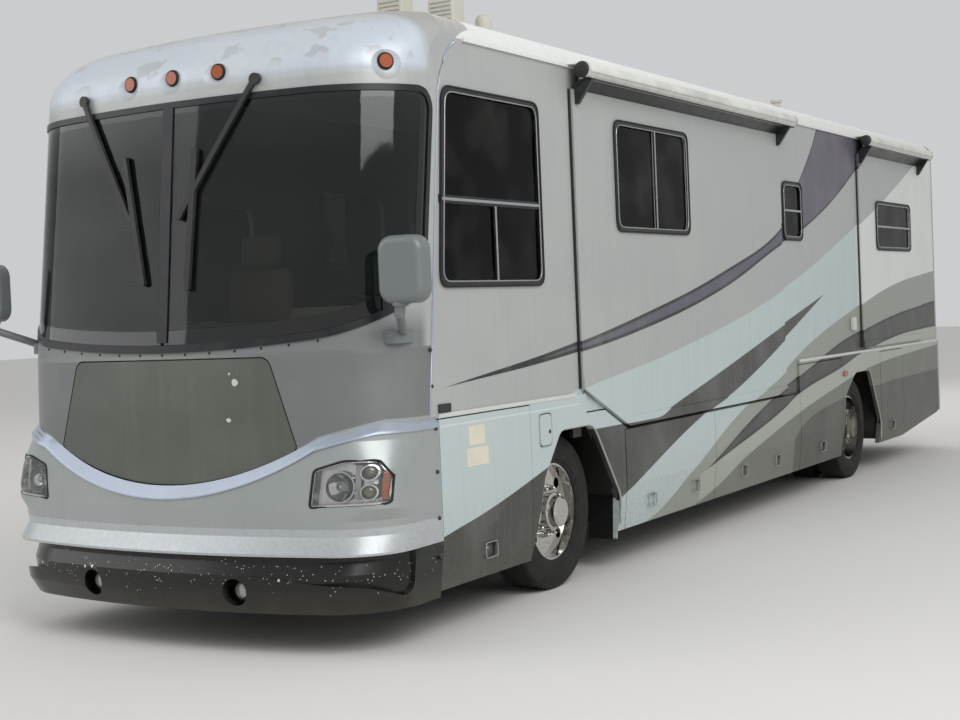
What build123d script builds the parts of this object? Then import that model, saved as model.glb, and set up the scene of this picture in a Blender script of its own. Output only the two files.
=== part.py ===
from build123d import *
import os

# Rear-engined motorhome with two slide-out rooms on the driver's side, in millimetres.
# X points to the vehicle's left, Y to its rear, Z up. The origin is on the ground, midway
# between the furthest points of the front and the back and of the two sides.
# A station is a distance behind the front axle.

os.makedirs("parts", exist_ok=True)

front_axle_y = -3370.5
wheelbase = 5790

# Body shell
wall_x = 1280
wall_thick = 50
skirt_x = 1295
skirt_thick = 40
skirt_tuck = 30
skirt_bottom = 250
skirt_crease = 525
belt_z = 1157
gutter_z = 3140
eave_z = 3262
crown_z = 3335
roof_corner = 150
roof_thick = 55
floor_z = 970
floor_thick = 60
rear_floor = 5950
rear_floor_z = 1180
gap = 7

# Side seam between the front cap and the walls, as stations
seam_low = -1455
seam_foot = -1511
seam_head = (-1303, 2834)
seam_bend = (-1180, 3078)
seam_roof = (-931, 3205)
tail_seam = 8700
tail_end = 8865

# Wheels
wheel_z = 465
tyre_r = 465
tyre_width = 255
rim_r = 290
front_wheel_x = 1060
kingpin_x = 880
rear_wheel_x = (790, 1090)

# Doors in the skirts: front station, rear station, top height, latch distances from the middle
skirt_doors = {
    "left_door_a": (seam_low, -480, 1137, (0,)),
    "left_door_b": (770, 2290, 888, (-375, 375)),
    "left_door_c": (2290, 4170, 888, (-375, 375)),
    "left_door_d": (4170, 5320, 1122, (0,)),
    "left_door_e": (6530, 7320, 1126, (0,)),
    "right_door_b": (770, 2290, 1122, (-375, 375)),
    "right_door_c": (2290, 4170, 1122, (-375, 375)),
    "right_door_d": (4170, 5320, 1122, (0,)),
}
latch_z = 392
fuel_flap = (-375, -231, 892, 1075)
entry_door = (-1240, -500, 330, 2930)

# Slide-out rooms: front station, rear station, flange foot, flange head, floor, depth, window
slides = {
    "front_slide": (190, 3830, 910, 3000, 1045, 835, (730, 1920, 2150, 2865)),
    "rear_slide": (5990, 8100, 1190, 2990, 1245, 640, (6480, 7700, 2100, 2575)),
}
slide_recess = (120, 4170, 896)
slide_chamfer = ((190, 1190), (815, 910))
# The skirt rises under the room's cut corner, clear of it by this much
chamfer_gap = 18
flange_thick = 25
flange_lap = 40
slide_wall = 45
sill_trim = 62

# Side windows to the outer edge of their frames: front station, rear station, sill, head
left_windows = ((3920, 4400, 2155, 2640),)
right_windows = (
    (-310, 280, 2050, 2480),
    (1000, 1900, 2050, 2620),
    (2700, 3900, 2050, 2720),
    (4700, 5150, 2155, 2640),
    (6480, 7700, 2100, 2575),
)
window_corner = 95
# Bars across windows: window, whether level, place of the middle, start, end, width
window_bars = (
    (1, True, 2400, 3920, 4400, 22),
    (1, True, 2280, -1375, -227, 42),
    (1, False, -770, 1817, 2280, 26),
    (-1, False, -15, 2050, 2480, 26),
    (-1, False, 1450, 2050, 2620, 26),
    (-1, False, 3300, 2050, 2720, 26),
    (-1, True, 2400, 4700, 5150, 22),
    (-1, False, 7090, 2100, 2575, 26),
)
slide_bars = {"front_slide": (False, 1355, 2150, 2865, 26), "rear_slide": (True, 2330, 6480, 7700, 26)}
# Driver's window, whose front edge leans with the seam: station and height of each corner
driver_window = ((-1375, 1817), (-1284, 2878), (-227, 2878), (-227, 1817))
pane_thick = 6
frame_width = 32
frame_lap = 25
frame_proud = 10
pane_lap = 0.5

# Wheel arches: station from the axle and height of each corner, with the corner's radius
front_arch = ((-500, 200, 0), (-330, 707, 90), (-110, 966, 90), (330, 966, 160), (684, 480, 90), (660, 200, 0))
rear_arch = ((-495, 200, 0), (-375, 787, 110), (-60, 978, 110), (400, 978, 110), (730, 469, 90), (705, 200, 0))

# Plan sections of the front, one for each height: station of the nose and corner radius
mask_sections = ((400, -2112, 475), (1500, -2080, 490), (2830, -1930, 550), (2930, -1917, 550))
# The brow rolls back from the last of them to the roof: heights and stations on an ellipse
brow_foot = (2930, -1917)
brow_top = (3338, -1000)
brow_steps = (0, 0.3, 0.55, 0.75, 0.9, 1)
# The fascia below the smile line, whose corners swell out round the lamps above a scoop
fascia_sections = (
    (400, -2162, 390, 1295),
    (600, -2160, 380, 1295),
    (680, -2155, 340, 1295),
    (740, -2155, 210, 1295),
    (820, -2150, 190, 1295),
    (930, -2140, 250, 1295),
    (1070, -2125, 440, 1295),
    (1200, -2110, 460, 1295),
)
lip_sections = ((512, -2208, 345, 1295), (524, -2208, 345, 1295), (605, -2160, 380, 1295))
# Bumper: height, nose, corner radius, half width
bumper_sections = (
    (217, -2160, 430, 1262),
    (300, -2195, 375, 1272),
    (412, -2198, 375, 1286),
    (478, -2168, 390, 1294),
    (512, -2165, 390, 1295),
)
nose_sweep = 196
nose_back = -250
cap_thick = 40
mask_top = 1522
mask_foot = 512


def y_at(station):
    return front_axle_y + station


def save(piece, name):
    piece.part.label = name
    export_step(piece.part, f"parts/{name}.step")


def side_window(x, window, grow):
    front, rear, low, high = window
    with BuildSketch(Plane.YZ.offset(x)) as opening:
        with Locations((y_at((front + rear) / 2), (low + high) / 2)):
            RectangleRounded(rear - front + 2 * grow, high - low + 2 * grow, window_corner + grow)
    return opening.sketch


def window_bar(level, place, start, end, width):
    return (start, end, place - width / 2, place + width / 2) if level else (place - width / 2, place + width / 2, start, end)


def driver_opening(x, grow):
    with BuildSketch(Plane.YZ.offset(x)) as opening:
        with BuildLine():
            Polyline([(y_at(station), z) for station, z in driver_window], close=True)
        make_face()
        if grow:
            offset(amount=grow, kind=Kind.INTERSECTION)
        fillet(opening.vertices(), window_corner + grow)
    return opening.sketch


def side_box(x, front, rear, low, high):
    with BuildSketch(Plane.YZ.offset(x)) as region:
        with Locations((y_at((front + rear) / 2), (low + high) / 2)):
            Rectangle(rear - front, high - low)
    return region.sketch


# Side view of everything ahead of the seam
def ahead_of_seam(x):
    with BuildSketch(Plane.YZ.offset(x)) as region:
        with BuildLine():
            Polyline(
                (y_at(seam_roof[0]), 3600),
                (y_at(-2600), 3600),
                (y_at(-2600), 0),
                (y_at(seam_low), 0),
                (y_at(seam_low), belt_z),
                (y_at(seam_foot), belt_z),
                (y_at(seam_head[0]), seam_head[1]),
            )
            ThreePointArc(
                (y_at(seam_head[0]), seam_head[1]),
                (y_at(seam_bend[0]), seam_bend[1]),
                (y_at(seam_roof[0]), seam_roof[1]),
            )
            Line((y_at(seam_roof[0]), seam_roof[1]), (y_at(seam_roof[0]), 3600))
        make_face()
    return region.sketch


# Front view of the body: upright sides, rounded eaves and a crowned roof
def body_section(y, grow, foot):
    half = wall_x + grow
    with BuildSketch(Plane.XZ.offset(-y)) as section:
        with BuildLine():
            ThreePointArc((-half, eave_z + grow), (0, crown_z + grow), (half, eave_z + grow))
            Polyline((half, eave_z + grow), (half, foot), (-half, foot), (-half, eave_z + grow))
        make_face()
        fillet(section.vertices().group_by(Axis.Z)[-1], roof_corner + grow)
    return section.sketch


# Plan of the front at one height: a shallow arc between two round corners
def plan_section(z, nose, corner, half):
    side_y = y_at(nose) + nose_sweep
    with BuildSketch(Plane.XY.offset(z)) as plan:
        with BuildLine():
            ThreePointArc((-half, side_y), (0, y_at(nose)), (half, side_y))
            Polyline((half, side_y), (half, y_at(nose_back)), (-half, y_at(nose_back)), (-half, side_y))
        make_face()
        fillet(plan.vertices().group_by(Axis.Y)[0], corner)
    return plan.sketch


# The solid of the front end, with its skin moved out by grow. Its corners are still turning
# where they meet the walls, so it starts 12 mm wider and is trimmed to them.
def nose_solid(grow):
    half = wall_x + 12 + grow
    brow = []
    for step in brow_steps:
        z = brow_foot[0] + step * (brow_top[0] + grow - brow_foot[0])
        rise = (1 - step**2) ** 0.5
        nose = brow_top[1] + rise * (brow_foot[1] - grow - brow_top[1])
        brow.append(plan_section(z, nose, mask_sections[-1][2] + grow, half))
    with BuildPart() as front:
        loft([plan_section(z, nose - grow, corner + grow, half) for z, nose, corner in mask_sections], ruled=True)
        loft(brow)
        extrude(body_section(y_at(nose_back) + 50, grow, 0), amount=2500, mode=Mode.INTERSECT)
    return front.part


# The solid of the fascia, lip or bumper
def low_solid(sections, grow, rounder=0):
    with BuildPart() as low:
        loft(
            [plan_section(z, nose - grow, corner + grow + rounder, half + grow) for z, nose, corner, half in sections],
            ruled=True,
        )
    return low.part


nose_skin = nose_solid(0)
nose_lining = nose_solid(-cap_thick)
fascia_skin = low_solid(fascia_sections, 0)
glass_lining = nose_solid(-pane_thick)

# Side view of the windscreen, which wraps round both corners, to the outer edge of its rubber
screen_outline = ((-2300, 1444), (-1515, 1805), (-1362, 2848), (-2300, 2848))
screen_corners = (150, 110)
screen_rubber = 15


def screen_sketch(grow):
    with BuildSketch(Plane.YZ.offset(-1500)) as screen:
        with BuildLine():
            points = [(y_at(station), z) for station, z in screen_outline]
            FilletPolyline(*points, radius=list(screen_corners))
            Line(points[-1], points[0])
        make_face()
        if grow:
            offset(amount=grow, kind=Kind.INTERSECTION)
    return screen.sketch


# Clearance lamps: five on the brow, each in a dish. Place, facing and rim radius of each dish.
brow_lamps = (
    ((-1181, -1621, 2972), (-0.798, -0.602), 88),
    ((-305, -1898, 2985), (-0.07, -0.9975), 75),
    ((0, -1909, 2985), (0, -1), 75),
    ((305, -1898, 2985), (0.07, -0.9975), 75),
    ((1181, -1621, 2972), (0.798, -0.602), 88),
)
dish_depth = 26
lens_r = 34

with BuildPart() as front_cap:
    add(nose_skin)
    add(nose_lining, mode=Mode.SUBTRACT)
    extrude(ahead_of_seam(-1500), amount=3000, mode=Mode.INTERSECT)
    extrude(side_box(-1500, -2600, -800, mask_top, 3600), amount=3000, mode=Mode.INTERSECT)
    extrude(screen_sketch(-screen_rubber), amount=3000, mode=Mode.SUBTRACT)
    for (x, station, z), (out_x, out_y), rim in brow_lamps:
        ball_r = (rim**2 + dish_depth**2) / (2 * dish_depth)
        reach = ball_r - dish_depth
        with Locations((x + reach * out_x, y_at(station) + reach * out_y, z)):
            Sphere(ball_r, mode=Mode.SUBTRACT)
save(front_cap, "front_cap")

# The side lamp ahead of the rear wheels: station and height
side_lamp = (5405, 982)
with BuildPart() as marker_lamps:
    for (x, station, z), (out_x, out_y), rim in brow_lamps:
        foot = (x - dish_depth * out_x, y_at(station) - dish_depth * out_y, z)
        with BuildSketch(Plane(origin=foot, x_dir=(0, 0, 1), z_dir=(out_x, out_y, 0))):
            Circle(lens_r)
        extrude(amount=20)
    add(front_cap.part, mode=Mode.SUBTRACT)
    for side in (1, -1):
        with BuildSketch(Plane.YZ.offset(side * skirt_x)):
            with Locations((y_at(side_lamp[0]), side_lamp[1])):
                Ellipse(58, 26)
        extrude(amount=side * 14)
save(marker_lamps, "marker_lamps")

with BuildPart() as windscreen:
    add(nose_skin)
    add(glass_lining, mode=Mode.SUBTRACT)
    extrude(screen_sketch(-screen_rubber), amount=3000, mode=Mode.INTERSECT)
    # Two panes either side of the centre strip
    with BuildSketch(Plane.XZ.offset(-y_at(-1600))):
        with Locations((0, 2300)):
            Rectangle(24, 2000)
    extrude(amount=900, mode=Mode.SUBTRACT)
save(windscreen, "windscreen")

# Hood panel and headlamps, as seen from the front
hood_top = (655, 1497)
hood_foot = (806, 1036)
hood_dip = 853
hood_thick = 20
lamp_outline = ((898, 750), (1279, 765), (1279, 900), (1225, 978), (1075, 980), (921, 936))
lamp_back = -1800


def hood_sketch(grow):
    with BuildSketch(Plane.XZ.offset(-y_at(-1800))) as panel:
        with BuildLine():
            Polyline(
                (-hood_foot[0], hood_foot[1]),
                (-hood_top[0], hood_top[1]),
                hood_top,
                hood_foot,
            )
            ThreePointArc(hood_foot, (0, hood_dip), (-hood_foot[0], hood_foot[1]))
        make_face()
        fillet(panel.vertices().group_by(Axis.Y)[-1], 60)
        fillet(panel.vertices().group_by(Axis.X)[0], 25)
        fillet(panel.vertices().group_by(Axis.X)[-1], 25)
        if grow:
            offset(amount=grow)
    return panel.sketch


def lamp_sketch(grow):
    with BuildSketch(Plane.XZ.offset(-y_at(lamp_back))) as lamps:
        for side in (1, -1):
            with BuildLine():
                Polyline([(side * x, z) for x, z in lamp_outline], close=True)
            make_face()
        fillet(lamps.vertices(), 18)
        if grow:
            offset(amount=grow)
    return lamps.sketch


# Everything below the smile line stands proud of the mask: an arc, bent level before the corners
smile_dip = 848
smile_bend = (930, 1097)
smile_level = (1190, 1163)


def smile_sketch(drop):
    with BuildSketch(Plane.XZ.offset(-y_at(-1300))) as below:
        with BuildLine():
            for side in (1, -1):
                arc = ThreePointArc(
                    (0, smile_dip - drop),
                    (side * smile_bend[0] / 2, smile_dip - drop + 0.2465 * (smile_bend[1] - smile_dip)),
                    (side * smile_bend[0], smile_bend[1] - drop),
                )
                bend = TangentArc(
                    (side * smile_bend[0], smile_bend[1] - drop),
                    (side * smile_level[0], smile_level[1] - drop),
                    tangent=arc % 1,
                )
                Polyline(bend @ 1, (side * 1400, smile_level[1] - drop), (side * 1400, 0))
            Line((-1400, 0), (1400, 0))
        make_face()
    return below.sketch


# Its top edge slopes back to the mask in a bright moulding
smile_steps = ((0, 62), (-13, 40), (-26, 20), (-39, 0))
with BuildPart() as fascia:
    for grow, drop in smile_steps:
        with BuildPart(mode=Mode.PRIVATE) as layer:
            add(low_solid(fascia_sections, grow))
            extrude(smile_sketch(drop), amount=1300, mode=Mode.INTERSECT)
        add(layer.part)

with BuildPart() as front_mask:
    add(nose_skin)
    add(fascia.part)
    add(low_solid(lip_sections, 0))
    add(nose_lining, mode=Mode.SUBTRACT)
    extrude(ahead_of_seam(-1500), amount=3000, mode=Mode.INTERSECT)
    extrude(side_box(-1500, -2600, 0, mask_foot, mask_top), amount=3000, mode=Mode.INTERSECT)
    extrude(hood_sketch(gap), amount=900, mode=Mode.SUBTRACT)
    extrude(lamp_sketch(2), amount=900, mode=Mode.SUBTRACT)
save(front_mask, "front_mask")

with BuildPart() as hood_panel:
    add(nose_skin)
    add(nose_solid(-hood_thick), mode=Mode.SUBTRACT)
    extrude(hood_sketch(0), amount=900, mode=Mode.INTERSECT)
save(hood_panel, "hood_panel")

# Bumper, darker and proud of the fascia. Above its crease the corners are cut back to a shelf.
shelf = ((-2400, 443), (-2186, 427), (-2087, 372), (-1960, 345), (-1800, 292), (-1717, 292), (-1717, 560), (-2400, 560))
shelf_turn = 60
fog_lamp = (485, 325, 70)
fog_depth = 60
fog_wall = 10
# Inside, every corner is turned wide enough to stay behind the shelf
with BuildPart() as bumper_lining:
    add(low_solid(bumper_sections, -cap_thick))
    add(low_solid(bumper_sections, -cap_thick - 3, 170), mode=Mode.INTERSECT)
with BuildPart() as bumper:
    add(low_solid(bumper_sections, 0))
    with BuildPart(mode=Mode.PRIVATE) as above_crease:
        with BuildSketch(Plane.YZ.offset(-1500)):
            with BuildLine():
                points = [(y_at(station), z) for station, z in shelf]
                FilletPolyline(*points, radius=[1, 1, 1, 1, shelf_turn, 1])
                Line(points[-1], points[0])
            make_face()
        extrude(amount=3000)
        add(low_solid(bumper_sections, -3, 170), mode=Mode.SUBTRACT)
    add(above_crease.part, mode=Mode.SUBTRACT)
    add(bumper_lining.part, mode=Mode.SUBTRACT)
    extrude(side_box(-1500, -2600, seam_low, 0, 600), amount=3000, mode=Mode.INTERSECT)
    with BuildSketch(Plane.XZ.offset(-y_at(-1900))):
        with Locations((-fog_lamp[0], fog_lamp[1]), (fog_lamp[0], fog_lamp[1])):
            Circle(fog_lamp[2])
    extrude(amount=600, mode=Mode.SUBTRACT)
save(bumper, "bumper")

# Headlamps: buckets with a round reflector and two projectors, and the fog lamps' cups
lamp_inset = 10
lamp_depth = 52
lamp_wall = 12
reflector = (1044, 849, 78)
projectors = ((1186, 917, 40), (1188, 822, 40))
with BuildPart() as headlamps:
    add(low_solid(fascia_sections, -lamp_inset / 2))
    add(low_solid(fascia_sections, -lamp_depth - lamp_wall), mode=Mode.SUBTRACT)
    extrude(lamp_sketch(0), amount=900, mode=Mode.INTERSECT)
    with BuildPart(mode=Mode.PRIVATE) as hollow:
        extrude(lamp_sketch(-lamp_inset), amount=900)
        add(low_solid(fascia_sections, -lamp_depth), mode=Mode.SUBTRACT)
    add(hollow.part, mode=Mode.SUBTRACT)
    with BuildPart(mode=Mode.PRIVATE) as bowls:
        with BuildSketch(Plane.XZ.offset(-y_at(lamp_back))):
            for side in (1, -1):
                for x, z, radius in (reflector, *projectors):
                    with Locations((side * x, z)):
                        Circle(radius)
                        Circle(radius - 7, mode=Mode.SUBTRACT)
        extrude(amount=600)
        add(low_solid(fascia_sections, -18), mode=Mode.INTERSECT)
        add(low_solid(fascia_sections, -lamp_depth - lamp_wall / 2), mode=Mode.SUBTRACT)
    add(bowls.part)
    extrude(lamp_sketch(0), amount=900, mode=Mode.INTERSECT)
    with BuildPart(mode=Mode.PRIVATE) as cups:
        for side in (1, -1):
            with BuildSketch(Plane.XZ.offset(-y_at(-2085))):
                with Locations((side * fog_lamp[0], fog_lamp[1])):
                    Circle(fog_lamp[2] + fog_wall)
            extrude(amount=90)
            with BuildSketch(Plane.XZ.offset(-y_at(-2085) + fog_wall)):
                with Locations((side * fog_lamp[0], fog_lamp[1])):
                    Circle(fog_lamp[2] - 1)
                    Circle(48, mode=Mode.SUBTRACT)
            extrude(amount=90, mode=Mode.SUBTRACT)
            with BuildSketch(Plane.XZ.offset(-y_at(-2112))):
                with Locations((side * fog_lamp[0], fog_lamp[1])):
                    Circle(48)
            extrude(amount=90, mode=Mode.SUBTRACT)
        add(bumper_lining.part, mode=Mode.INTERSECT)
    add(cups.part)
save(headlamps, "headlamps")


# Walls: the region behind the seam, above the belt
# The triangle of skirt under the cut corner of the front room, as a side view
def chamfer_panel(x, grow):
    (nick_station, nick_z), (toe_station, toe_z) = slide_chamfer
    slope = (nick_z - toe_z) / (toe_station - nick_station)
    low = slide_recess[2] - 2
    line = nick_z - chamfer_gap + grow
    start = slide_recess[0] - 2
    with BuildSketch(Plane.YZ.offset(x)) as panel:
        with BuildLine():
            Polyline(
                (y_at(start), low),
                (y_at(start), belt_z),
                (y_at(nick_station + (line - belt_z) / slope), belt_z),
                (y_at(nick_station + (line - low) / slope), low),
                close=True,
            )
        make_face()
    return panel.sketch


def wall_outline(x, recess):
    with BuildSketch(Plane.YZ.offset(x)) as wall:
        with Locations((y_at((seam_foot + tail_seam) / 2), (belt_z + gutter_z) / 2)):
            Rectangle(tail_seam - seam_foot, gutter_z - belt_z)
        if recess:
            front, rear, foot = recess
            with Locations((y_at((front + rear) / 2), (foot + belt_z) / 2)):
                Rectangle(rear - front, belt_z - foot)
    return wall.sketch


with BuildPart() as left_wall:
    extrude(wall_outline(wall_x, slide_recess), amount=-wall_thick)
    extrude(ahead_of_seam(0), amount=1500, mode=Mode.SUBTRACT)
    for front, rear, foot, head, floor, depth, window in slides.values():
        low = floor - 5 if floor > belt_z else 0
        doorway = side_box(wall_x, front + flange_lap, rear - flange_lap, low, head - flange_lap)
        extrude(doorway, amount=-wall_thick, mode=Mode.SUBTRACT)
    for window in left_windows:
        extrude(side_window(wall_x, window, -frame_lap), amount=-wall_thick, mode=Mode.SUBTRACT)
    extrude(driver_opening(wall_x, -frame_lap), amount=-wall_thick, mode=Mode.SUBTRACT)
    extrude(chamfer_panel(wall_x + 10, 4), amount=-35, mode=Mode.SUBTRACT)
save(left_wall, "left_wall")

with BuildPart() as right_wall:
    extrude(wall_outline(-wall_x, None), amount=wall_thick)
    extrude(ahead_of_seam(0), amount=-1500, mode=Mode.SUBTRACT)
    doorway = side_box(-wall_x, entry_door[0] - gap, entry_door[1] + gap, 0, entry_door[3] + gap)
    extrude(doorway, amount=wall_thick, mode=Mode.SUBTRACT)
    for window in right_windows:
        extrude(side_window(-wall_x, window, -frame_lap), amount=wall_thick, mode=Mode.SUBTRACT)
save(right_wall, "right_wall")

gutter_rail = (-1040, tail_seam, 3128, 3150)
with BuildPart() as roof:
    extrude(body_section(y_at(tail_seam), 0, 0), amount=tail_seam - seam_foot)
    extrude(body_section(y_at(tail_seam), -roof_thick, 0), amount=tail_seam - seam_foot, mode=Mode.SUBTRACT)
    extrude(side_box(-1500, seam_foot, tail_seam, gutter_z, 3600), amount=3000, mode=Mode.INTERSECT)
    extrude(ahead_of_seam(-1500), amount=3000, mode=Mode.SUBTRACT)
    # Gutter rails along both eaves
    for side in (1, -1):
        extrude(side_box(side * wall_x, *gutter_rail), amount=side * 14)
        extrude(side_box(side * (wall_x - 18), *gutter_rail[:2], gutter_z + 1, gutter_rail[3]), amount=side * 30)
save(roof, "roof")

# Rear cap: rounded upright corners, rolled into the roof
tail_corner = 130
tail_proud = 15
tail_foot = 400
hitch_notch = (140, 580)
engine_hatch = (600, 600, 1300)
tail_lamp = (1120, 70, 800, 1120)
rear_window = (450, 1900, 2450)


def tail_solid(grow, foot, top):
    with BuildPart() as tail:
        with BuildSketch(Plane.XY.offset(foot)) as plan:
            with Locations((0, y_at((tail_seam + tail_end) / 2) + grow / 2)):
                Rectangle(2 * (wall_x + grow), tail_end - tail_seam + grow)
            fillet(plan.vertices().group_by(Axis.Y)[-1], tail_corner + grow)
        extrude(amount=top - foot)
        extrude(body_section(y_at(tail_end) + 100, grow, 0), amount=500, mode=Mode.INTERSECT)
    return tail.part


with BuildPart() as rear_cap:
    add(tail_solid(0, tail_foot, 3600))
    add(tail_solid(tail_proud, tail_foot, belt_z))
    add(tail_solid(-cap_thick, 0, 3600), mode=Mode.SUBTRACT)
    with BuildSketch(Plane.XZ.offset(-y_at(tail_end) - 200)):
        half, low, high = engine_hatch
        with Locations((0, (low + high) / 2)):
            Rectangle(2 * half + 2 * gap, high - low + 2 * gap)
        half, low, high = rear_window
        with Locations((0, (low + high) / 2)):
            RectangleRounded(2 * half, high - low, window_corner)
        x, half, low, high = tail_lamp
        with Locations((-x, (low + high) / 2), (x, (low + high) / 2)):
            Rectangle(2 * half, high - low)
        half, high = hitch_notch
        with Locations((0, high / 2)):
            Rectangle(2 * half, high)
    extrude(amount=300, mode=Mode.SUBTRACT)
save(rear_cap, "rear_cap")

with BuildPart() as engine_door:
    half, low, high = engine_hatch
    with BuildSketch(Plane.XZ.offset(-y_at(tail_end) - 12)):
        with Locations((0, (low + high) / 2)):
            RectangleRounded(2 * half, high - low, 20)
    extrude(amount=45)
    # Louvres across the upper half
    with BuildSketch(Plane.XZ.offset(-y_at(tail_end) - 12)):
        with Locations((0, (low + high) / 2)):
            with GridLocations(540, 62, 2, 8):
                SlotOverall(460, 24)
    extrude(amount=30, mode=Mode.SUBTRACT)
save(engine_door, "engine_door")

with BuildPart() as tail_lamps:
    x, half, low, high = tail_lamp
    with BuildSketch(Plane.XZ.offset(-y_at(tail_end) - 22)):
        with Locations((-x, (low + high) / 2), (x, (low + high) / 2)):
            RectangleRounded(2 * half - 6, high - low - 6, 25)
    extrude(amount=60)
save(tail_lamps, "tail_lamps")


# Skirts: one profile from belt to foot, tucked in below the crease
def skirt_strip(side, front, rear, top):
    with BuildSketch(Plane.XZ.offset(-y_at(rear))) as profile:
        with BuildLine():
            outer = [(skirt_x, top), (skirt_x, skirt_crease), (skirt_x - skirt_tuck, skirt_bottom)]
            inner = [(x - skirt_thick, z) for x, z in reversed(outer)]
            Polyline([(side * x, z) for x, z in outer + inner], close=True)
        make_face()
    return extrude(profile.sketch, amount=rear - front, mode=Mode.PRIVATE)


def arch_opening(axle_station, corners):
    with BuildSketch(Plane.YZ.offset(-1500)) as arch:
        with BuildLine():
            points = [(y_at(axle_station + station), z) for station, z, radius in corners]
            FilletPolyline(*points, radius=[radius for station, z, radius in corners[1:-1]])
            Line(points[-1], points[0])
        make_face()
    return arch.sketch


arch_return = (1060, 1258, 12)
with BuildPart() as skirts:
    for side in (1, -1):
        add(skirt_strip(side, seam_low, tail_seam, belt_z))
    for name, (front, rear, top, latches) in skirt_doors.items():
        side = 1 if name.startswith("left") else -1
        opening = side_box(0, front - (gap if front > seam_low else 0), rear, 0, top + gap)
        extrude(opening, amount=side * 1500, mode=Mode.SUBTRACT)
    front, rear, low = slide_recess
    extrude(side_box(0, front, rear, low, 1500), amount=1500, mode=Mode.SUBTRACT)
    extrude(chamfer_panel(skirt_x, 0), amount=-skirt_thick)
    # Room left for the slide-out's box to pass over it
    front, rear, foot, head, floor = slides["front_slide"][:5]
    extrude(side_box(skirt_x + 1, front + flange_lap + 2, rear, floor - 8, belt_z + 10), amount=-2 * skirt_thick, mode=Mode.SUBTRACT)
    front, rear, low, high = fuel_flap
    extrude(side_box(0, front - 3, rear + 3, low - 3, high + 3), amount=1500, mode=Mode.SUBTRACT)
    front, rear, low, high = entry_door
    extrude(side_box(0, front - gap, rear + gap, low - gap, high), amount=-1500, mode=Mode.SUBTRACT)
    extrude(arch_opening(0, front_arch), amount=3000, mode=Mode.SUBTRACT)
    extrude(arch_opening(wheelbase, rear_arch), amount=3000, mode=Mode.SUBTRACT)
    # Inner return behind each front arch
    for side in (1, -1):
        with BuildSketch(Plane.YZ.offset(side * arch_return[0])):
            with BuildLine():
                front_run = [(y_at(station), z) for station, z, radius in front_arch[-3:]]
                rear_run = [(y + arch_return[2], z) for y, z in reversed(front_run)]
                Polyline(*front_run, *rear_run, close=True)
            make_face()
        extrude(amount=side * (arch_return[1] - arch_return[0]))
    # Foot rising towards the tail
    with BuildSketch(Plane.YZ.offset(-1500)):
        with BuildLine():
            Polyline(
                (y_at(7320), 0),
                (y_at(7320), skirt_bottom),
                (y_at(tail_end), tail_foot),
                (y_at(tail_end), 0),
                close=True,
            )
        make_face()
    extrude(amount=3000, mode=Mode.SUBTRACT)
save(skirts, "skirts")

# Hinged doors in the skirts, each with its recessed paddle latches
latch_pocket = (120, 80, 14)
latch_paddle = (90, 50, 8)
for name, (front, rear, top, latches) in skirt_doors.items():
    side = 1 if name.startswith("left") else -1
    middle = (front + rear) / 2
    with BuildPart() as door:
        add(skirt_strip(side, front + gap / 2, rear - gap / 2, top))
        for (width, height, depth), mode, base in (
            (latch_pocket, Mode.SUBTRACT, skirt_x - 30),
            (latch_paddle, Mode.ADD, skirt_x - 34),
        ):
            with BuildSketch(Plane.YZ.offset(side * base)):
                with Locations(*[(y_at(middle + distance), latch_z) for distance in latches]):
                    RectangleRounded(width, height, 14)
            extrude(amount=side * (60 if mode == Mode.SUBTRACT else depth), mode=mode)
    save(door, name)

with BuildPart() as fuel_door:
    front, rear, low, high = fuel_flap
    with BuildSketch(Plane.YZ.offset(skirt_x - 12)):
        with Locations((y_at((front + rear) / 2), (low + high) / 2)):
            RectangleRounded(rear - front - 4, high - low - 4, 32)
    extrude(amount=15)
save(fuel_door, "fuel_door")

# Entry door on the passenger's side: it covers the wall and the skirt below it
entry_window = (-1175, -665, 1885, 2725)
with BuildPart() as entry:
    front, rear, low, high = entry_door
    with BuildSketch(Plane.YZ.offset(-wall_x)):
        with Locations((y_at((front + rear) / 2), (low + high) / 2)):
            RectangleRounded(rear - front, high - low, 40)
    extrude(amount=wall_thick - 5)
    extrude(side_window(-wall_x, entry_window, 0), amount=-frame_proud)
    extrude(side_window(-wall_x - 50, entry_window, -frame_width), amount=150, mode=Mode.SUBTRACT)
    # Grab rail beside the opening edge and a pull handle
    for station, low, high in ((-560, 1080, 1240),):
        with Locations((-wall_x - 20, y_at(station), (low + high) / 2)):
            Box(12, 30, high - low)
        for z in (low + 10, high - 10):
            with Locations((-wall_x - 10, y_at(station), z)):
                Box(24, 30, 20)
save(entry, "entry_door")


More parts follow.
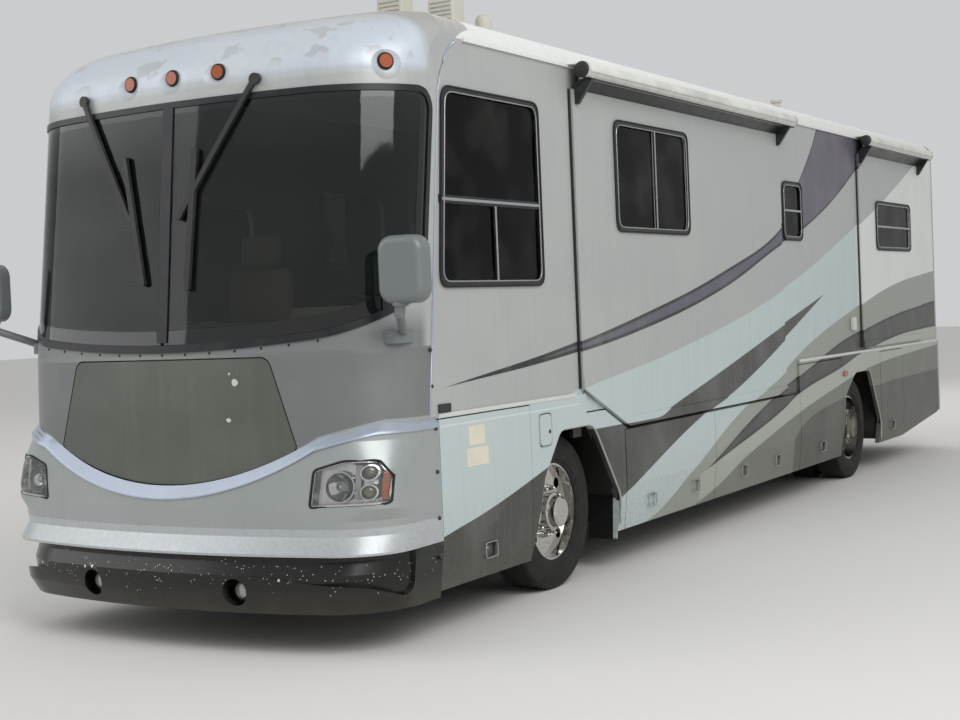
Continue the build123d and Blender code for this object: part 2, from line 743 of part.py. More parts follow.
# Slide-out rooms: an open-backed box with a flange that laps the wall
for name, (front, rear, foot, head, floor, depth, window) in slides.items():
    with BuildPart() as room:
        box_front = front + flange_lap + 10
        box_rear = rear - flange_lap - 10
        box_head = head - flange_lap - 10
        extrude(side_box(wall_x, front, rear, foot, head), amount=flange_thick)
        extrude(side_box(wall_x, box_front, box_rear, floor, box_head), amount=-depth)
        inside = side_box(
            wall_x - slide_wall, box_front + slide_wall, box_rear - slide_wall, floor + slide_wall, box_head - slide_wall
        )
        extrude(inside, amount=-depth, mode=Mode.SUBTRACT)
        if name == "front_slide":
            (nick_station, nick_z), (toe_station, toe_z) = slide_chamfer
            with BuildSketch(Plane.YZ.offset(wall_x)):
                with BuildLine():
                    Polyline(
                        (y_at(nick_station) - 1, nick_z),
                        (y_at(toe_station), toe_z - 1),
                        (y_at(nick_station) - 1, toe_z - 1),
                        close=True,
                    )
                make_face()
            extrude(amount=flange_thick, mode=Mode.SUBTRACT)
        # Raised moulding along the foot, window surround and its divider
        face_x = wall_x + flange_thick
        if name == "front_slide":
            toe = [(toe_station, toe_z), (rear, toe_z), (rear, toe_z + sill_trim), (toe_station + 20, toe_z + sill_trim)]
            edge = [*toe, (front, nick_z + sill_trim), (front, nick_z)]
        else:
            edge = [(front, foot), (rear, foot), (rear, foot + sill_trim), (front, foot + sill_trim)]
        with BuildSketch(Plane.YZ.offset(face_x)):
            with BuildLine():
                Polyline([(y_at(station), z) for station, z in edge], close=True)
            make_face()
        extrude(amount=8)
        extrude(side_window(face_x, window, 0), amount=frame_proud)
        extrude(side_window(face_x + 50, window, -frame_width), amount=-200, mode=Mode.SUBTRACT)
        level, place, start, end, width = slide_bars[name]
        inset = frame_width - 2
        extrude(side_box(face_x - 4, *window_bar(level, place, start + inset, end - inset, width)), amount=frame_proud)
    save(room, name)
    with BuildPart() as glass:
        extrude(side_window(face_x - 4, window, -frame_width - pane_lap), amount=-pane_thick)
    save(glass, name + "_glass")

# Topper rollers over the rooms, in brackets on the room's flange
roller_x = 1400
roller_z = 3100
roller_r = 48
for name, (front, rear, foot, head, floor, depth, window) in slides.items():
    roller_front, roller_rear = front - 50, rear + 70
    with BuildPart() as topper:
        with BuildSketch(Plane.XZ.offset(-y_at(roller_rear))):
            with Locations((roller_x, roller_z)):
                Circle(roller_r)
        extrude(amount=roller_rear - roller_front)
        # End brackets down to the flange
        for station in (front + 30, rear - 60):
            with BuildSketch(Plane.XZ.offset(-y_at(station + 30))):
                with BuildLine():
                    Polyline(
                        (roller_x + 20, roller_z),
                        (roller_x - 30, roller_z + 20),
                        (wall_x + flange_thick, head - 6),
                        (wall_x + flange_thick, head - 90),
                        (wall_x + flange_thick + 20, head - 90),
                        (roller_x + 30, roller_z - 44),
                        close=True,
                    )
                make_face()
            extrude(amount=30)
        # Shroud sloping in from the roller to the head of the flange
        with BuildSketch(Plane.XZ.offset(-y_at(rear - 20))):
            with BuildLine():
                Polyline(
                    (wall_x + 12, head),
                    (wall_x + flange_thick - 5, head),
                    (roller_x - 22, roller_z - 41),
                    (roller_x - 34, roller_z - 34),
                    (wall_x + 12, head + 6),
                    close=True,
                )
            make_face()
        extrude(amount=rear - front - 40)
    save(topper, name.replace("slide", "topper"))

# Side glass and its frames, all fixed to the walls
with BuildPart() as side_glass:
    for window in left_windows:
        extrude(side_window(wall_x - 10, window, -frame_lap - pane_lap), amount=pane_thick)
    extrude(driver_opening(wall_x - 10, -frame_lap - pane_lap), amount=pane_thick)
    for window in right_windows:
        extrude(side_window(-wall_x + 10, window, -frame_lap - pane_lap), amount=-pane_thick)
    half, low, high = rear_window
    with BuildSketch(Plane.XZ.offset(-y_at(tail_end) + 10)):
        with Locations((0, (low + high) / 2)):
            RectangleRounded(2 * half - 1, high - low - 1, window_corner)
    extrude(amount=pane_thick)
save(side_glass, "side_glass")

with BuildPart() as entry_glass:
    extrude(side_window(-wall_x + 4, entry_window, -frame_width - pane_lap), amount=-pane_thick)
save(entry_glass, "entry_glass")

with BuildPart() as window_frames:
    for side, windows in ((1, left_windows), (-1, right_windows)):
        for window in windows:
            extrude(side_window(side * wall_x, window, 0), amount=side * frame_proud)
            extrude(
                side_window(side * wall_x, window, -frame_width), amount=side * frame_proud, mode=Mode.SUBTRACT
            )
    extrude(driver_opening(wall_x, 0), amount=frame_proud)
    extrude(driver_opening(wall_x, -frame_width), amount=frame_proud, mode=Mode.SUBTRACT)
    for side, level, place, start, end, width in window_bars:
        inset = frame_width - 2
        extrude(side_box(side * wall_x, *window_bar(level, place, start + inset, end - inset, width)), amount=side * 6)
    # Rubber round the windscreen and the strip between its panes
    with BuildPart(mode=Mode.PRIVATE) as rubber:
        add(nose_solid(8))
        add(nose_skin, mode=Mode.SUBTRACT)
        with BuildPart(mode=Mode.PRIVATE) as ring:
            extrude(screen_sketch(6), amount=3000)
            extrude(screen_sketch(-screen_rubber - 12), amount=3000, mode=Mode.SUBTRACT)
        with BuildPart(mode=Mode.PRIVATE) as strip:
            with BuildSketch(Plane.XZ.offset(-y_at(-1600))):
                with Locations((0, 2210)):
                    Rectangle(68, 1240)
            extrude(amount=900)
        add(ring.part + strip.part, mode=Mode.INTERSECT)
    add(rubber.part)
save(window_frames, "window_frames")

# Chassis: two channel rails, their webs outward
rail_x = 432
rail_depth = 250
rail_flange = 80
rail_foot = 600
rail_web = 8
rail_front = -1900
rail_rear = 8600
# Beams that carry the floor: station, inner end, outer end, height of the top
floor_beams = (
    (-1350, 0, 440, floor_z),
    (-680, 0, 440, floor_z),
    (850, 0, 1210, floor_z),
    (1900, 0, 1210, floor_z),
    (2900, 0, 1210, floor_z),
    (4100, 0, 1210, floor_z),
    (5150, 0, 1210, floor_z),
    (6450, 0, 1210, rear_floor_z),
    (7400, rail_x - rail_flange, 1210, rear_floor_z),
    (8300, 0, 1210, rear_floor_z),
)
with BuildPart() as chassis_rails:
    for side in (1, -1):
        with BuildSketch(Plane.XZ.offset(-y_at(rail_rear))):
            with BuildLine():
                Polyline(
                    (side * rail_x, rail_foot),
                    (side * rail_x, rail_foot + rail_depth),
                    (side * (rail_x - rail_flange), rail_foot + rail_depth),
                    (side * (rail_x - rail_flange), rail_foot + rail_depth - rail_web),
                    (side * (rail_x - rail_web), rail_foot + rail_depth - rail_web),
                    (side * (rail_x - rail_web), rail_foot + rail_web),
                    (side * (rail_x - rail_flange), rail_foot + rail_web),
                    (side * (rail_x - rail_flange), rail_foot),
                    close=True,
                )
            make_face()
        extrude(amount=rail_rear - rail_front)
save(chassis_rails, "chassis_rails")

# Cross members between the webs, and the floor beams on top of the rails
cross_members = (-1850, -700, 900, 2600, 4300, 6500, 8550)
with BuildPart() as cross_beams:
    for station in cross_members:
        with Locations((0, y_at(station), rail_foot + rail_depth / 2)):
            Box(2 * (rail_x - rail_web), 60, 160)
    for station, inner, outer, top in floor_beams:
        low = rail_foot + rail_depth
        for side in (1, -1):
            with Locations((side * (inner + outer) / 2, y_at(station), (low + top) / 2)):
                Box(outer - inner, 60, top - low)
save(cross_beams, "cross_beams")

# Fuel tank slung under the rails
tank_high = 180
with BuildPart() as fuel_tank:
    with Locations((0, y_at(1750), rail_foot - tank_high / 2)):
        Box(2 * rail_x - 4, 900, tank_high)
    fillet(fuel_tank.edges().filter_by(Axis.Y), 30)
save(fuel_tank, "fuel_tank")

# Hitch: cross bar on two hangers bolted to the webs, with a receiver tube out past the tail
hitch_z = 500
hanger_thick = 20
receiver = (64, 51, 8555, 8940)
hitch_pin = (8908, 8.1)
with BuildPart() as receiver_hitch:
    with Locations((0, y_at(8540), hitch_z)):
        Box(2 * rail_x + 2, 76, 76)
    for side in (1, -1):
        with Locations((side * (rail_x + hanger_thick / 2), y_at(8500), (hitch_z + rail_foot) / 2 + 40)):
            Box(hanger_thick, 140, rail_foot - hitch_z + 110)
    outside, inside, front, rear = receiver
    with Locations((0, y_at((front + rear) / 2), hitch_z)):
        Box(outside, rear - front, outside)
        Box(inside, rear - front + 60, inside, mode=Mode.SUBTRACT)
    pin_station, pin_hole_r = hitch_pin
    with BuildSketch(Plane.YZ.offset(-50)):
        with Locations((y_at(pin_station), hitch_z)):
            Circle(pin_hole_r)
    extrude(amount=100, mode=Mode.SUBTRACT)
save(receiver_hitch, "receiver_hitch")

# Front axle: dropped beam with kingpin bosses and an air spring each side
boss_r = 45
pin_r = 22
boss_half = 45
with BuildPart() as front_axle:
    with Locations((0, y_at(0), wheel_z - 20)):
        Box(2 * kingpin_x - 60, 90, 80)
    for side in (1, -1):
        with Locations((side * kingpin_x, y_at(0), wheel_z - 10)):
            Cylinder(boss_r, 2 * boss_half)
            Cylinder(pin_r + 0.5, 2 * boss_half, mode=Mode.SUBTRACT)
        with Locations((side * 392, y_at(0), (wheel_z + 20 + rail_foot) / 2)):
            Cylinder(110, rail_foot - wheel_z - 20)
save(front_axle, "front_axle")

for name, side in (("left_knuckle", 1), ("right_knuckle", -1)):
    with BuildPart() as knuckle:
        with Locations((side * kingpin_x, y_at(0), wheel_z - 10)):
            Cylinder(pin_r, 2 * boss_half + 80)
        for step in (1, -1):
            with Locations((side * kingpin_x, y_at(0), wheel_z - 10 + step * (boss_half + 25))):
                Cylinder(40, 30)
            with Locations((side * (kingpin_x + 45), y_at(0), wheel_z - 10 + step * (boss_half + 25))):
                Box(90, 70, 30)
        with Locations((side * (kingpin_x + 75), y_at(0), wheel_z - 10)):
            Box(30, 110, 2 * boss_half + 80)
        with BuildSketch(Plane.YZ.offset(side * (kingpin_x + 70))):
            with Locations((y_at(0), wheel_z)):
                Circle(190)
        extrude(amount=side * 10)
        with BuildSketch(Plane.YZ.offset(side * (kingpin_x + 80))):
            with Locations((y_at(0), wheel_z)):
                Circle(38)
        extrude(amount=side * 170)
    save(knuckle, name)

# Rear axle: housing, differential, drive shaft and air springs
with BuildPart() as rear_axle:
    with BuildSketch(Plane.YZ.offset(-620)):
        with Locations((y_at(wheelbase), wheel_z)):
            Circle(75)
    extrude(amount=1240)
    with BuildSketch(Plane.YZ.offset(-1000)):
        with Locations((y_at(wheelbase), wheel_z)):
            Circle(50)
    extrude(amount=2000)
    with Locations((0, y_at(wheelbase), wheel_z)):
        Sphere(190)
    with BuildSketch(Plane.XZ.offset(-y_at(wheelbase + 1000))):
        with Locations((0, wheel_z + 60)):
            Circle(50)
    extrude(amount=900)
    for side in (1, -1):
        with Locations((side * 392, y_at(wheelbase), (wheel_z + 60 + rail_foot) / 2)):
            Cylinder(120, rail_foot - wheel_z - 60)
save(rear_axle, "rear_axle")

with BuildPart() as engine:
    with Locations((0, y_at(7500), 790)):
        Box(620, 1350, 620)
save(engine, "engine")

# Floor, raised over the engine, with the entry steps let into it
step_well = (-1240, -620, 780)
with BuildPart() as cabin_floor:
    half = wall_x - wall_thick - 5
    extrude(side_box(-half, seam_low, rear_floor, floor_z, floor_z + floor_thick), amount=2 * half)
    extrude(side_box(-half, rear_floor - 40, rear_floor, floor_z, rear_floor_z + 50), amount=2 * half)
    extrude(side_box(-half, rear_floor - 40, tail_seam - 20, rear_floor_z, rear_floor_z + 50), amount=2 * half)
    front, rear, inner_x = step_well
    extrude(side_box(-half, front, rear, floor_z - 10, floor_z + 100), amount=half - inner_x, mode=Mode.SUBTRACT)
    extrude(side_box(-inner_x, front - 20, rear + 20, 330, floor_z), amount=20)
    extrude(side_box(-half, front - 20, front, 330, floor_z), amount=half - inner_x)
    extrude(side_box(-half, rear, rear + 20, 330, floor_z), amount=half - inner_x)
    extrude(side_box(-half, front, rear, 330, 370), amount=half - inner_x)
    extrude(side_box(-half + 200, front, rear, 370, 640), amount=half - inner_x - 200)
save(cabin_floor, "cabin_floor")

# Luggage bays: trays open to the side, one each side of the rails
bay_spans = (
    (1, seam_low + 20, -640, floor_z),
    (1, 790, 4150, 850),
    (1, 4190, 5230, 850),
    (1, 6560, 7300, 850),
    (-1, 790, 4150, 850),
    (-1, 4190, 5230, 850),
)
bay_floor = 285
bay_inner_x = 470
bay_outer_x = 1220
bay_wall = 12
with BuildPart() as bays:
    for side, front, rear, top in bay_spans:
        extrude(side_box(side * bay_inner_x, front, rear, bay_floor, top), amount=side * (bay_outer_x - bay_inner_x))
        extrude(
            side_box(side * (bay_inner_x + bay_wall), front + bay_wall, rear - bay_wall, bay_floor + bay_wall, top),
            amount=side * bay_outer_x,
            mode=Mode.SUBTRACT,
        )
save(bays, "bays")

# Mirrors on arms from the mask, ahead of both front corners
mirror_head = (1432, -1985, 1905, 256, 330)
mirror_depth = 105
mirror_arm = ((1405, -1930, 1752), (1395, -1925, 1690), (1262, -1700, 1592))
mirror_arm_r = (27, 22)
with BuildPart() as mirrors:
    x, station, z, width, height = mirror_head
    with BuildPart(mode=Mode.PRIVATE) as heads:
        for side in (1, -1):
            with BuildSketch(Plane.XZ.offset(-y_at(station + mirror_depth))):
                with Locations((side * x, z)):
                    RectangleRounded(width, height, 75)
            extrude(amount=mirror_depth)
        fillet(heads.edges().group_by(Axis.Y)[0], 40)
        # Lip round the glass side
        fillet(heads.edges().group_by(Axis.Y)[-1], 6)
        for side in (1, -1):
            with BuildSketch(Plane.XZ.offset(-y_at(station + mirror_depth))):
                with Locations((side * x, z)):
                    RectangleRounded(width - 28, height - 28, 62)
            extrude(amount=14, mode=Mode.SUBTRACT)
    add(heads.part)
    with BuildPart(mode=Mode.PRIVATE) as arms:
        for side in (1, -1):
            joints = [Vector(side * px, y_at(ps), pz) for px, ps, pz in mirror_arm]
            for start, end, radius in zip(joints, joints[1:], mirror_arm_r):
                along = end - start
                with BuildSketch(Plane(origin=start, z_dir=along)):
                    Circle(radius)
                extrude(amount=along.length)
            with Locations(joints[1]):
                Sphere(mirror_arm_r[0])
            # Collar under the head
            with BuildSketch(Plane.XY.offset(1730)):
                with Locations((side * 1405, y_at(-1930))):
                    Circle(40)
            extrude(amount=30)
            # Half-moon pad on the mask
            with BuildSketch(Plane.XY.offset(1545)):
                with Locations((side * 1215, y_at(-1690))):
                    RectangleRounded(130, 190, 55)
            extrude(amount=62)
    add(arms.part)
    add(heads.part)
    add(nose_skin, mode=Mode.SUBTRACT)
save(mirrors, "mirrors")

# Wipers: a pivot above the glass, an arm down it and a blade across
wiper_paths = (
    ((-647, 2928), (-238, 2241), (-292, 2572), (-131, 1909)),
    ((559, 2919), (109, 2238), (202, 2577), (174, 1870)),
)
with BuildPart() as wipers:
    for pivot, elbow, blade_top, blade_foot in wiper_paths:
        for (start_x, start_z), (end_x, end_z), width in ((pivot, elbow, 28), (blade_top, blade_foot, 34)):
            with BuildSketch(Plane.XZ.offset(-y_at(-1700))):
                with BuildLine():
                    path = Line((start_x, start_z), (end_x, end_z))
                    offset(path, amount=width / 2, side=Side.BOTH)
                make_face()
            extrude(amount=700)
        # Spindle under a round cap
        with BuildSketch(Plane.XZ.offset(-y_at(-1700))):
            with Locations(pivot):
                Circle(30)
        extrude(amount=700)
    add(nose_solid(10), mode=Mode.SUBTRACT)
    add(nose_solid(30), mode=Mode.INTERSECT)
    with BuildPart(mode=Mode.PRIVATE) as feet:
        for pivot, elbow, blade_top, blade_foot in wiper_paths:
            for place, radius in ((pivot, 24), (blade_foot, 12), (blade_top, 12)):
                with BuildSketch(Plane.XZ.offset(-y_at(-1700))):
                    with Locations(place):
                        Circle(radius)
                extrude(amount=700)
        add(nose_skin, mode=Mode.SUBTRACT)
        add(nose_solid(16), mode=Mode.INTERSECT)
    add(feet.part)
save(wipers, "wipers")

# Roof: low air conditioners and vents on the middle, horn cowls, a dome and a vent near the left edge
air_conditioners = (1300, 5600)
roof_vents = ((3300, 450, 400), (7300, -300, 400))
cowls = ((715, -810), (930, -610))
with BuildPart() as roof_units:
    for station in air_conditioners:
        with BuildSketch(Plane.XY.offset(crown_z - 25)):
            with Locations((0, y_at(station))):
                RectangleRounded(600, 980, 120)
        with BuildSketch(Plane.XY.offset(crown_z + 190)):
            with Locations((0, y_at(station) + 40)):
                RectangleRounded(460, 780, 90)
        loft()
    for station, x, across in roof_vents:
        with BuildSketch(Plane.XY.offset(crown_z - 60)):
            with Locations((x, y_at(station))):
                RectangleRounded(across, across, 40)
        extrude(amount=150)
    for x, station in cowls:
        with BuildPart(mode=Mode.PRIVATE) as cowl:
            with Locations((x, y_at(station), 3350)):
                Box(170, 130, 220)
            fillet(cowl.edges().filter_by(Axis.Z), 14)
            # Ribbed faces
            for step in range(5):
                with Locations((x, y_at(station) - 65, 3340 + 24 * step)):
                    Box(136, 12, 10, mode=Mode.SUBTRACT)
        add(cowl.part)
    with Locations((1085, y_at(-460), 3290)):
        Cylinder(48, 90)
        with Locations((0, 0, 45)):
            Sphere(48)
    with Locations((1050, y_at(4530), 3310)):
        Cylinder(34, 110)
        with Locations((0, 0, 50)):
            Cylinder(48, 22)
    extrude(body_section(y_at(tail_seam), 0, 0), amount=tail_seam - seam_roof[0], mode=Mode.SUBTRACT)
save(roof_units, "roof_units")

# Cab fittings
dash_profile = (
    (-2080, 1080),
    (-2080, 1540),
    (-1900, 1575),
    (-1640, 1650),
    (-1480, 1690),
    (-1400, 1680),
    (-1345, 1600),
    (-1330, 1480),
    (-1420, 1380),
    (-1440, 1080),
)
with BuildPart() as dash:
    with BuildSketch(Plane.YZ.offset(-1185)):
        with BuildLine():
            Polyline([(y_at(station), z) for station, z in dash_profile], close=True)
        make_face()
    extrude(amount=2370)
    # Binnacle ahead of the driver
    with BuildSketch(Plane.YZ.offset(440)):
        with BuildLine():
            Polyline(
                [(y_at(station), z) for station, z in ((-1600, 1640), (-1520, 1745), (-1370, 1735), (-1350, 1600))],
                close=True,
            )
        make_face()
    extrude(amount=400)
    add(nose_solid(-60), mode=Mode.INTERSECT)
save(dash, "dash")

# Seats: side view of the cushion, the back, the head rest and the arm rest
seat_middle = 640
seat_pads = (
    (520, ((-1010, 1330), (-1015, 1465), (-560, 1445), (-540, 1310))),
    (500, ((-560, 1330), (-545, 1500), (-470, 2020), (-360, 2010), (-400, 1330))),
    (300, ((-478, 2030), (-455, 2225), (-350, 2215), (-362, 2020))),
)
with BuildPart() as seats:
    for side in (1, -1):
        for width, profile in seat_pads:
            with BuildPart(mode=Mode.PRIVATE) as pad:
                with BuildSketch(Plane.YZ.offset(side * seat_middle - width / 2)):
                    with BuildLine():
                        Polyline([(y_at(station), z) for station, z in profile], close=True)
                    make_face()
                extrude(amount=width)
                fillet(pad.edges(), 28)
            add(pad.part)
        for shift in (-265, 265):
            with BuildPart(mode=Mode.PRIVATE) as rest:
                with Locations((side * seat_middle + shift, y_at(-640), 1580)):
                    Box(60, 380, 70)
                fillet(rest.edges(), 20)
            add(rest.part)
            with Locations((side * seat_middle + shift * 0.92, y_at(-480), 1500)):
                Box(40, 60, 120)
        with Locations((side * seat_middle, y_at(-760), 1190)):
            Box(300, 340, 320)
        with Locations((side * seat_middle, y_at(-420), 2010)):
            Box(120, 30, 80)
save(seats, "seats")

with BuildPart() as steering_wheel:
    rim_plane = Plane(origin=(640, y_at(-1180), 1690), x_dir=(1, 0, 0), z_dir=(0, 0.5, 0.866))
    with BuildSketch(rim_plane):
        Circle(228)
        Circle(196, mode=Mode.SUBTRACT)
    extrude(amount=30)
    fillet(steering_wheel.edges(), 9)
    with BuildSketch(rim_plane.offset(4)):
        Rectangle(410, 44)
        with Locations((0, -100)):
            Rectangle(50, 205)
        Circle(72)
    extrude(amount=18)
    with BuildSketch(rim_plane.offset(4)):
        Circle(34)
    extrude(amount=-300)
    add(dash.part, mode=Mode.SUBTRACT)
save(steering_wheel, "steering_wheel")

# Ladder on the tail
with BuildPart() as ladder:
    for x in (-1000, -640):
        with BuildSketch(Plane.XY.offset(1500)):
            with Locations((x, y_at(tail_end) + 70)):
                Circle(14)
        extrude(amount=1900)
        with BuildSketch(Plane.XZ.offset(-y_at(tail_end) - 84)):
            with Locations((x, 3390)):
                Circle(14)
        extrude(amount=380)
        with BuildSketch(Plane.XY.offset(3200)):
            with Locations((x, y_at(tail_end) - 282)):
                Circle(14)
        extrude(amount=200)
        for z in (1600, 3100):
            with BuildSketch(Plane.XZ.offset(-y_at(tail_end) - 84)):
                with Locations((x, z)):
                    Circle(14)
            extrude(amount=84)
    for step in range(6):
        with BuildSketch(Plane.YZ.offset(-1000)):
            with Locations((y_at(tail_end) + 70, 1600 + 300 * step)):
                Circle(12)
        extrude(amount=360)
    extrude(body_section(y_at(tail_seam), 0, 0), amount=900, mode=Mode.SUBTRACT)
save(ladder, "ladder")

# Tyres and rims
rim_width = 200
hub_bore = 60
hub_r = 110
hub_span = (1080, 1222)
dual_hub_span = (850, 1128)
nut_ring_r = 143
nut_tiers = ((21, 16), (14, 36))
hand_hole = (216, 33)
for name, side, offsets in (
    ("front_left", 1, (front_wheel_x,)),
    ("front_right", -1, (front_wheel_x,)),
    ("rear_left", 1, rear_wheel_x),
    ("rear_right", -1, rear_wheel_x),
):
    axle_y = y_at(0) if name.startswith("front") else y_at(wheelbase)
    half = tyre_width / 2
    with BuildPart() as tyre:
        for x in offsets:
            with BuildSketch(Plane((side * x, axle_y, wheel_z), x_dir=(1, 0, 0), z_dir=(0, -1, 0))):
                with BuildLine():
                    Polyline(
                        (-half + 22, rim_r),
                        (-half + 4, rim_r + 25),
                        (-half, rim_r + 85),
                        (-half + 18, tyre_r - 12),
                        (-half + 32, tyre_r),
                        (half - 32, tyre_r),
                        (half - 18, tyre_r - 12),
                        (half, rim_r + 85),
                        (half - 4, rim_r + 25),
                        (half - 22, rim_r),
                        close=True,
                    )
                make_face()
            revolve(axis=Axis((0, axle_y, wheel_z), (1, 0, 0)))
    save(tyre, name + "_tyre")
    with BuildPart() as rim:
        with BuildSketch(Plane((0, axle_y, wheel_z), x_dir=(side, 0, 0), z_dir=(0, -side, 0))):
            for x in offsets:
                half = rim_width / 2
                face_x = 35 if len(offsets) == 1 else (70 if x == offsets[0] else -70)
                with BuildLine():
                    Polyline(
                        (x - half, rim_r - 12),
                        (x - half, rim_r - 0.3),
                        (x + half, rim_r - 0.3),
                        (x + half, rim_r - 12),
                        (x + face_x + 12, rim_r - 25),
                        (x + face_x + 12, hub_bore),
                        (x + face_x - 8, hub_bore),
                        (x + face_x - 8, rim_r - 25),
                        close=True,
                    )
                make_face()
            # Hub, closed by a cap at its outer end
            hub_start, hub_end = hub_span if len(offsets) == 1 else dual_hub_span
            hub = [(hub_start, hub_bore), (hub_start, hub_r), (hub_end - 52, hub_r), (hub_end - 46, hub_r - 14)]
            cap = [(hub_end - 10, hub_r - 20), (hub_end, hub_r - 32), (hub_end, 0), (hub_end - 20, 0)]
            with BuildLine():
                Polyline(*hub, *cap, (hub_end - 20, hub_bore), close=True)
            make_face()
        revolve(axis=Axis((0, axle_y, wheel_z), (1, 0, 0)))
        # Outer disc: four hand holes and ten nut caps in two tiers
        disc_x = offsets[-1] + face_x + 12
        around = Plane(origin=(side * disc_x, axle_y, wheel_z), x_dir=(0, 1, 0), z_dir=(side, 0, 0))
        for (radius, height), turn in zip(nut_tiers, (0, 0)):
            with BuildSketch(around):
                with PolarLocations(nut_ring_r, 10):
                    Circle(radius)
            extrude(amount=height)
        with BuildSketch(around.offset(30)):
            with PolarLocations(hand_hole[0], 4, start_angle=45):
                Circle(hand_hole[1])
        extrude(amount=-60, mode=Mode.SUBTRACT)
    save(rim, name + "_rim")
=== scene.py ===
import functools
import math
import bmesh
import bpy
import numpy as np
from mathutils import Matrix, Vector


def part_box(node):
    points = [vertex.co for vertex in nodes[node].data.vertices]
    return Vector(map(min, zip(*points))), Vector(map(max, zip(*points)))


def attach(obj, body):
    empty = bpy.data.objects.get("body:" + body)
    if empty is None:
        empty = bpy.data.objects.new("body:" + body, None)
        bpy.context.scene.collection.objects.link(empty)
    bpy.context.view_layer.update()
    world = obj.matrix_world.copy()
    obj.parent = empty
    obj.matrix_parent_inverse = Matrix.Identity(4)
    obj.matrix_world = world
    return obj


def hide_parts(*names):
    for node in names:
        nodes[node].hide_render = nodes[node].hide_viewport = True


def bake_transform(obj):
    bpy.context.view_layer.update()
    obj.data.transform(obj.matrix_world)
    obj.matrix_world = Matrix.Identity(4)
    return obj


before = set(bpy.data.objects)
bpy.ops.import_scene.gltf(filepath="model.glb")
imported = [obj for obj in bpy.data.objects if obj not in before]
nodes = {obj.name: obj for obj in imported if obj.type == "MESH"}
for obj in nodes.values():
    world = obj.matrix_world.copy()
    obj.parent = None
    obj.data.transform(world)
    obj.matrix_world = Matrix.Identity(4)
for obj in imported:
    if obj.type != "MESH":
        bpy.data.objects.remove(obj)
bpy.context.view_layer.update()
scene = bpy.context.scene

# where the front axle stands in this frame, read from the wheels
axleLow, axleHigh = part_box("front_left_rim")
frontAxleY = (axleLow.y + axleHigh.y) / 2
wheelbase, axleHeight = 5.79, 0.465


def station(distance):
    # metres behind the front axle, turned into this frame's Y
    return frontAxleY + distance


# camera and studio

camera = {
    "place": (5.5064, station(-8.1198), 1.6973),
    "yaw": 0.53498, "pitch": -0.03308, "roll": 0.04212,
    "lens": 57.56, "sensor": 36.0,
}


def makeCamera():
    # turned by its yaw, raised by its pitch, then rolled about its own axis
    data = bpy.data.cameras.new("camera")
    data.lens, data.sensor_width = camera["lens"], camera["sensor"]
    data.clip_start, data.clip_end = 0.1, 200
    eye = bpy.data.objects.new("camera", data)
    scene.collection.objects.link(eye)
    turns = ((camera["yaw"], "Z"), (math.pi / 2 + camera["pitch"], "X"), (-camera["roll"], "Z"))
    yaw, pitch, roll = (Matrix.Rotation(angle, 4, axis) for angle, axis in turns)
    eye.matrix_world = Matrix.Translation(camera["place"]) @ yaw @ pitch @ roll
    scene.camera = eye


makeCamera()
scene.view_settings.view_transform = "Standard"
print("camera set")


def colour(code):
    # sRGB hex to the linear values that shaders take
    parts = [int(code[i:i + 2], 16) / 255 for i in (1, 3, 5)]
    return tuple(c / 12.92 if c <= 0.04045 else ((c + 0.055) / 1.055) ** 2.4 for c in parts) + (1.0,)


def put(tree, kind, *inputs, output=0, **settings):
    # adds one node: its kind may be followed by an operation, and an operation alone is Math's; inputs
    # fill its sockets in order with values, hex colours or outputs, settings name its own or a socket
    kind, gap, operation = ("Math " + kind if kind.isupper() else kind).partition(" ")
    node = tree.nodes.new("ShaderNode" + kind)
    if operation:
        node.operation = operation
    fills = list(enumerate(inputs))
    for key, value in settings.items():
        if hasattr(node, key):
            setattr(node, key, value)
        else:
            fills.append((key.replace("_", " "), value))
    for socket, value in fills:
        if hasattr(value, "is_linked"):
            tree.links.new(value, node.inputs[socket])
        elif value is not None:
            node.inputs[socket].default_value = colour(value) if isinstance(value, str) else value
    return node.outputs[output] if node.outputs else node


def surface(name, formula, *values):
    # a material whose formula gives tone, roughness, metalness and, in a dict, any other setting
    material = bpy.data.materials.new(name)
    material.use_nodes = True
    material.node_tree.nodes.clear()
    add = functools.partial(put, material.node_tree)
    tone, rough, metal, *more = formula(add, *values)
    shader = add("BsdfPrincipled", Base_Color=tone, Roughness=rough, Metallic=metal, **dict(*more))
    add("OutputMaterial", shader)
    return material


studio = {
    "floor": "#dedcd8", "floorHalf": 60, "world": "#f1f2f4", "worldStrength": 0.68,
    "lamps": (("key", (11, -9, 10), 1050), ("fill", (-9, -10, 7), 330), ("back", (-4, 13, 9), 330)),
    "lampSize": 9, "target": (0, 0, 1.5),
}


def mattFloor(add):
    # one pale tone, matt all over
    return studio["floor"], 0.9, 0.0


def makeStudio():
    half = studio["floorHalf"]
    data = bpy.data.meshes.new("floor")
    corners = [(-half, -half, 0), (half, -half, 0), (half, half, 0), (-half, half, 0)]
    data.from_pydata(corners, [], [(0, 1, 2, 3)])
    floor = bpy.data.objects.new("floor", data)
    scene.collection.objects.link(floor)
    data.materials.append(surface("pale floor", mattFloor))
    world = bpy.data.worlds.new("studio")
    scene.world = world
    world.use_nodes = True
    background = world.node_tree.nodes["Background"]
    background.inputs["Color"].default_value = colour(studio["world"])
    background.inputs["Strength"].default_value = studio["worldStrength"]
    for name, place, power in studio["lamps"]:
        light = bpy.data.lights.new(name, "AREA")
        light.size, light.energy = studio["lampSize"], power
        lamp = bpy.data.objects.new(name, light)
        scene.collection.objects.link(lamp)
        lamp.location = place
        away = np.array(place) - np.array(studio["target"])
        lamp.rotation_mode = "QUATERNION"
        lamp.rotation_quaternion = Vector(away).to_track_quat("Z", "Y")


makeStudio()
print("studio lit")
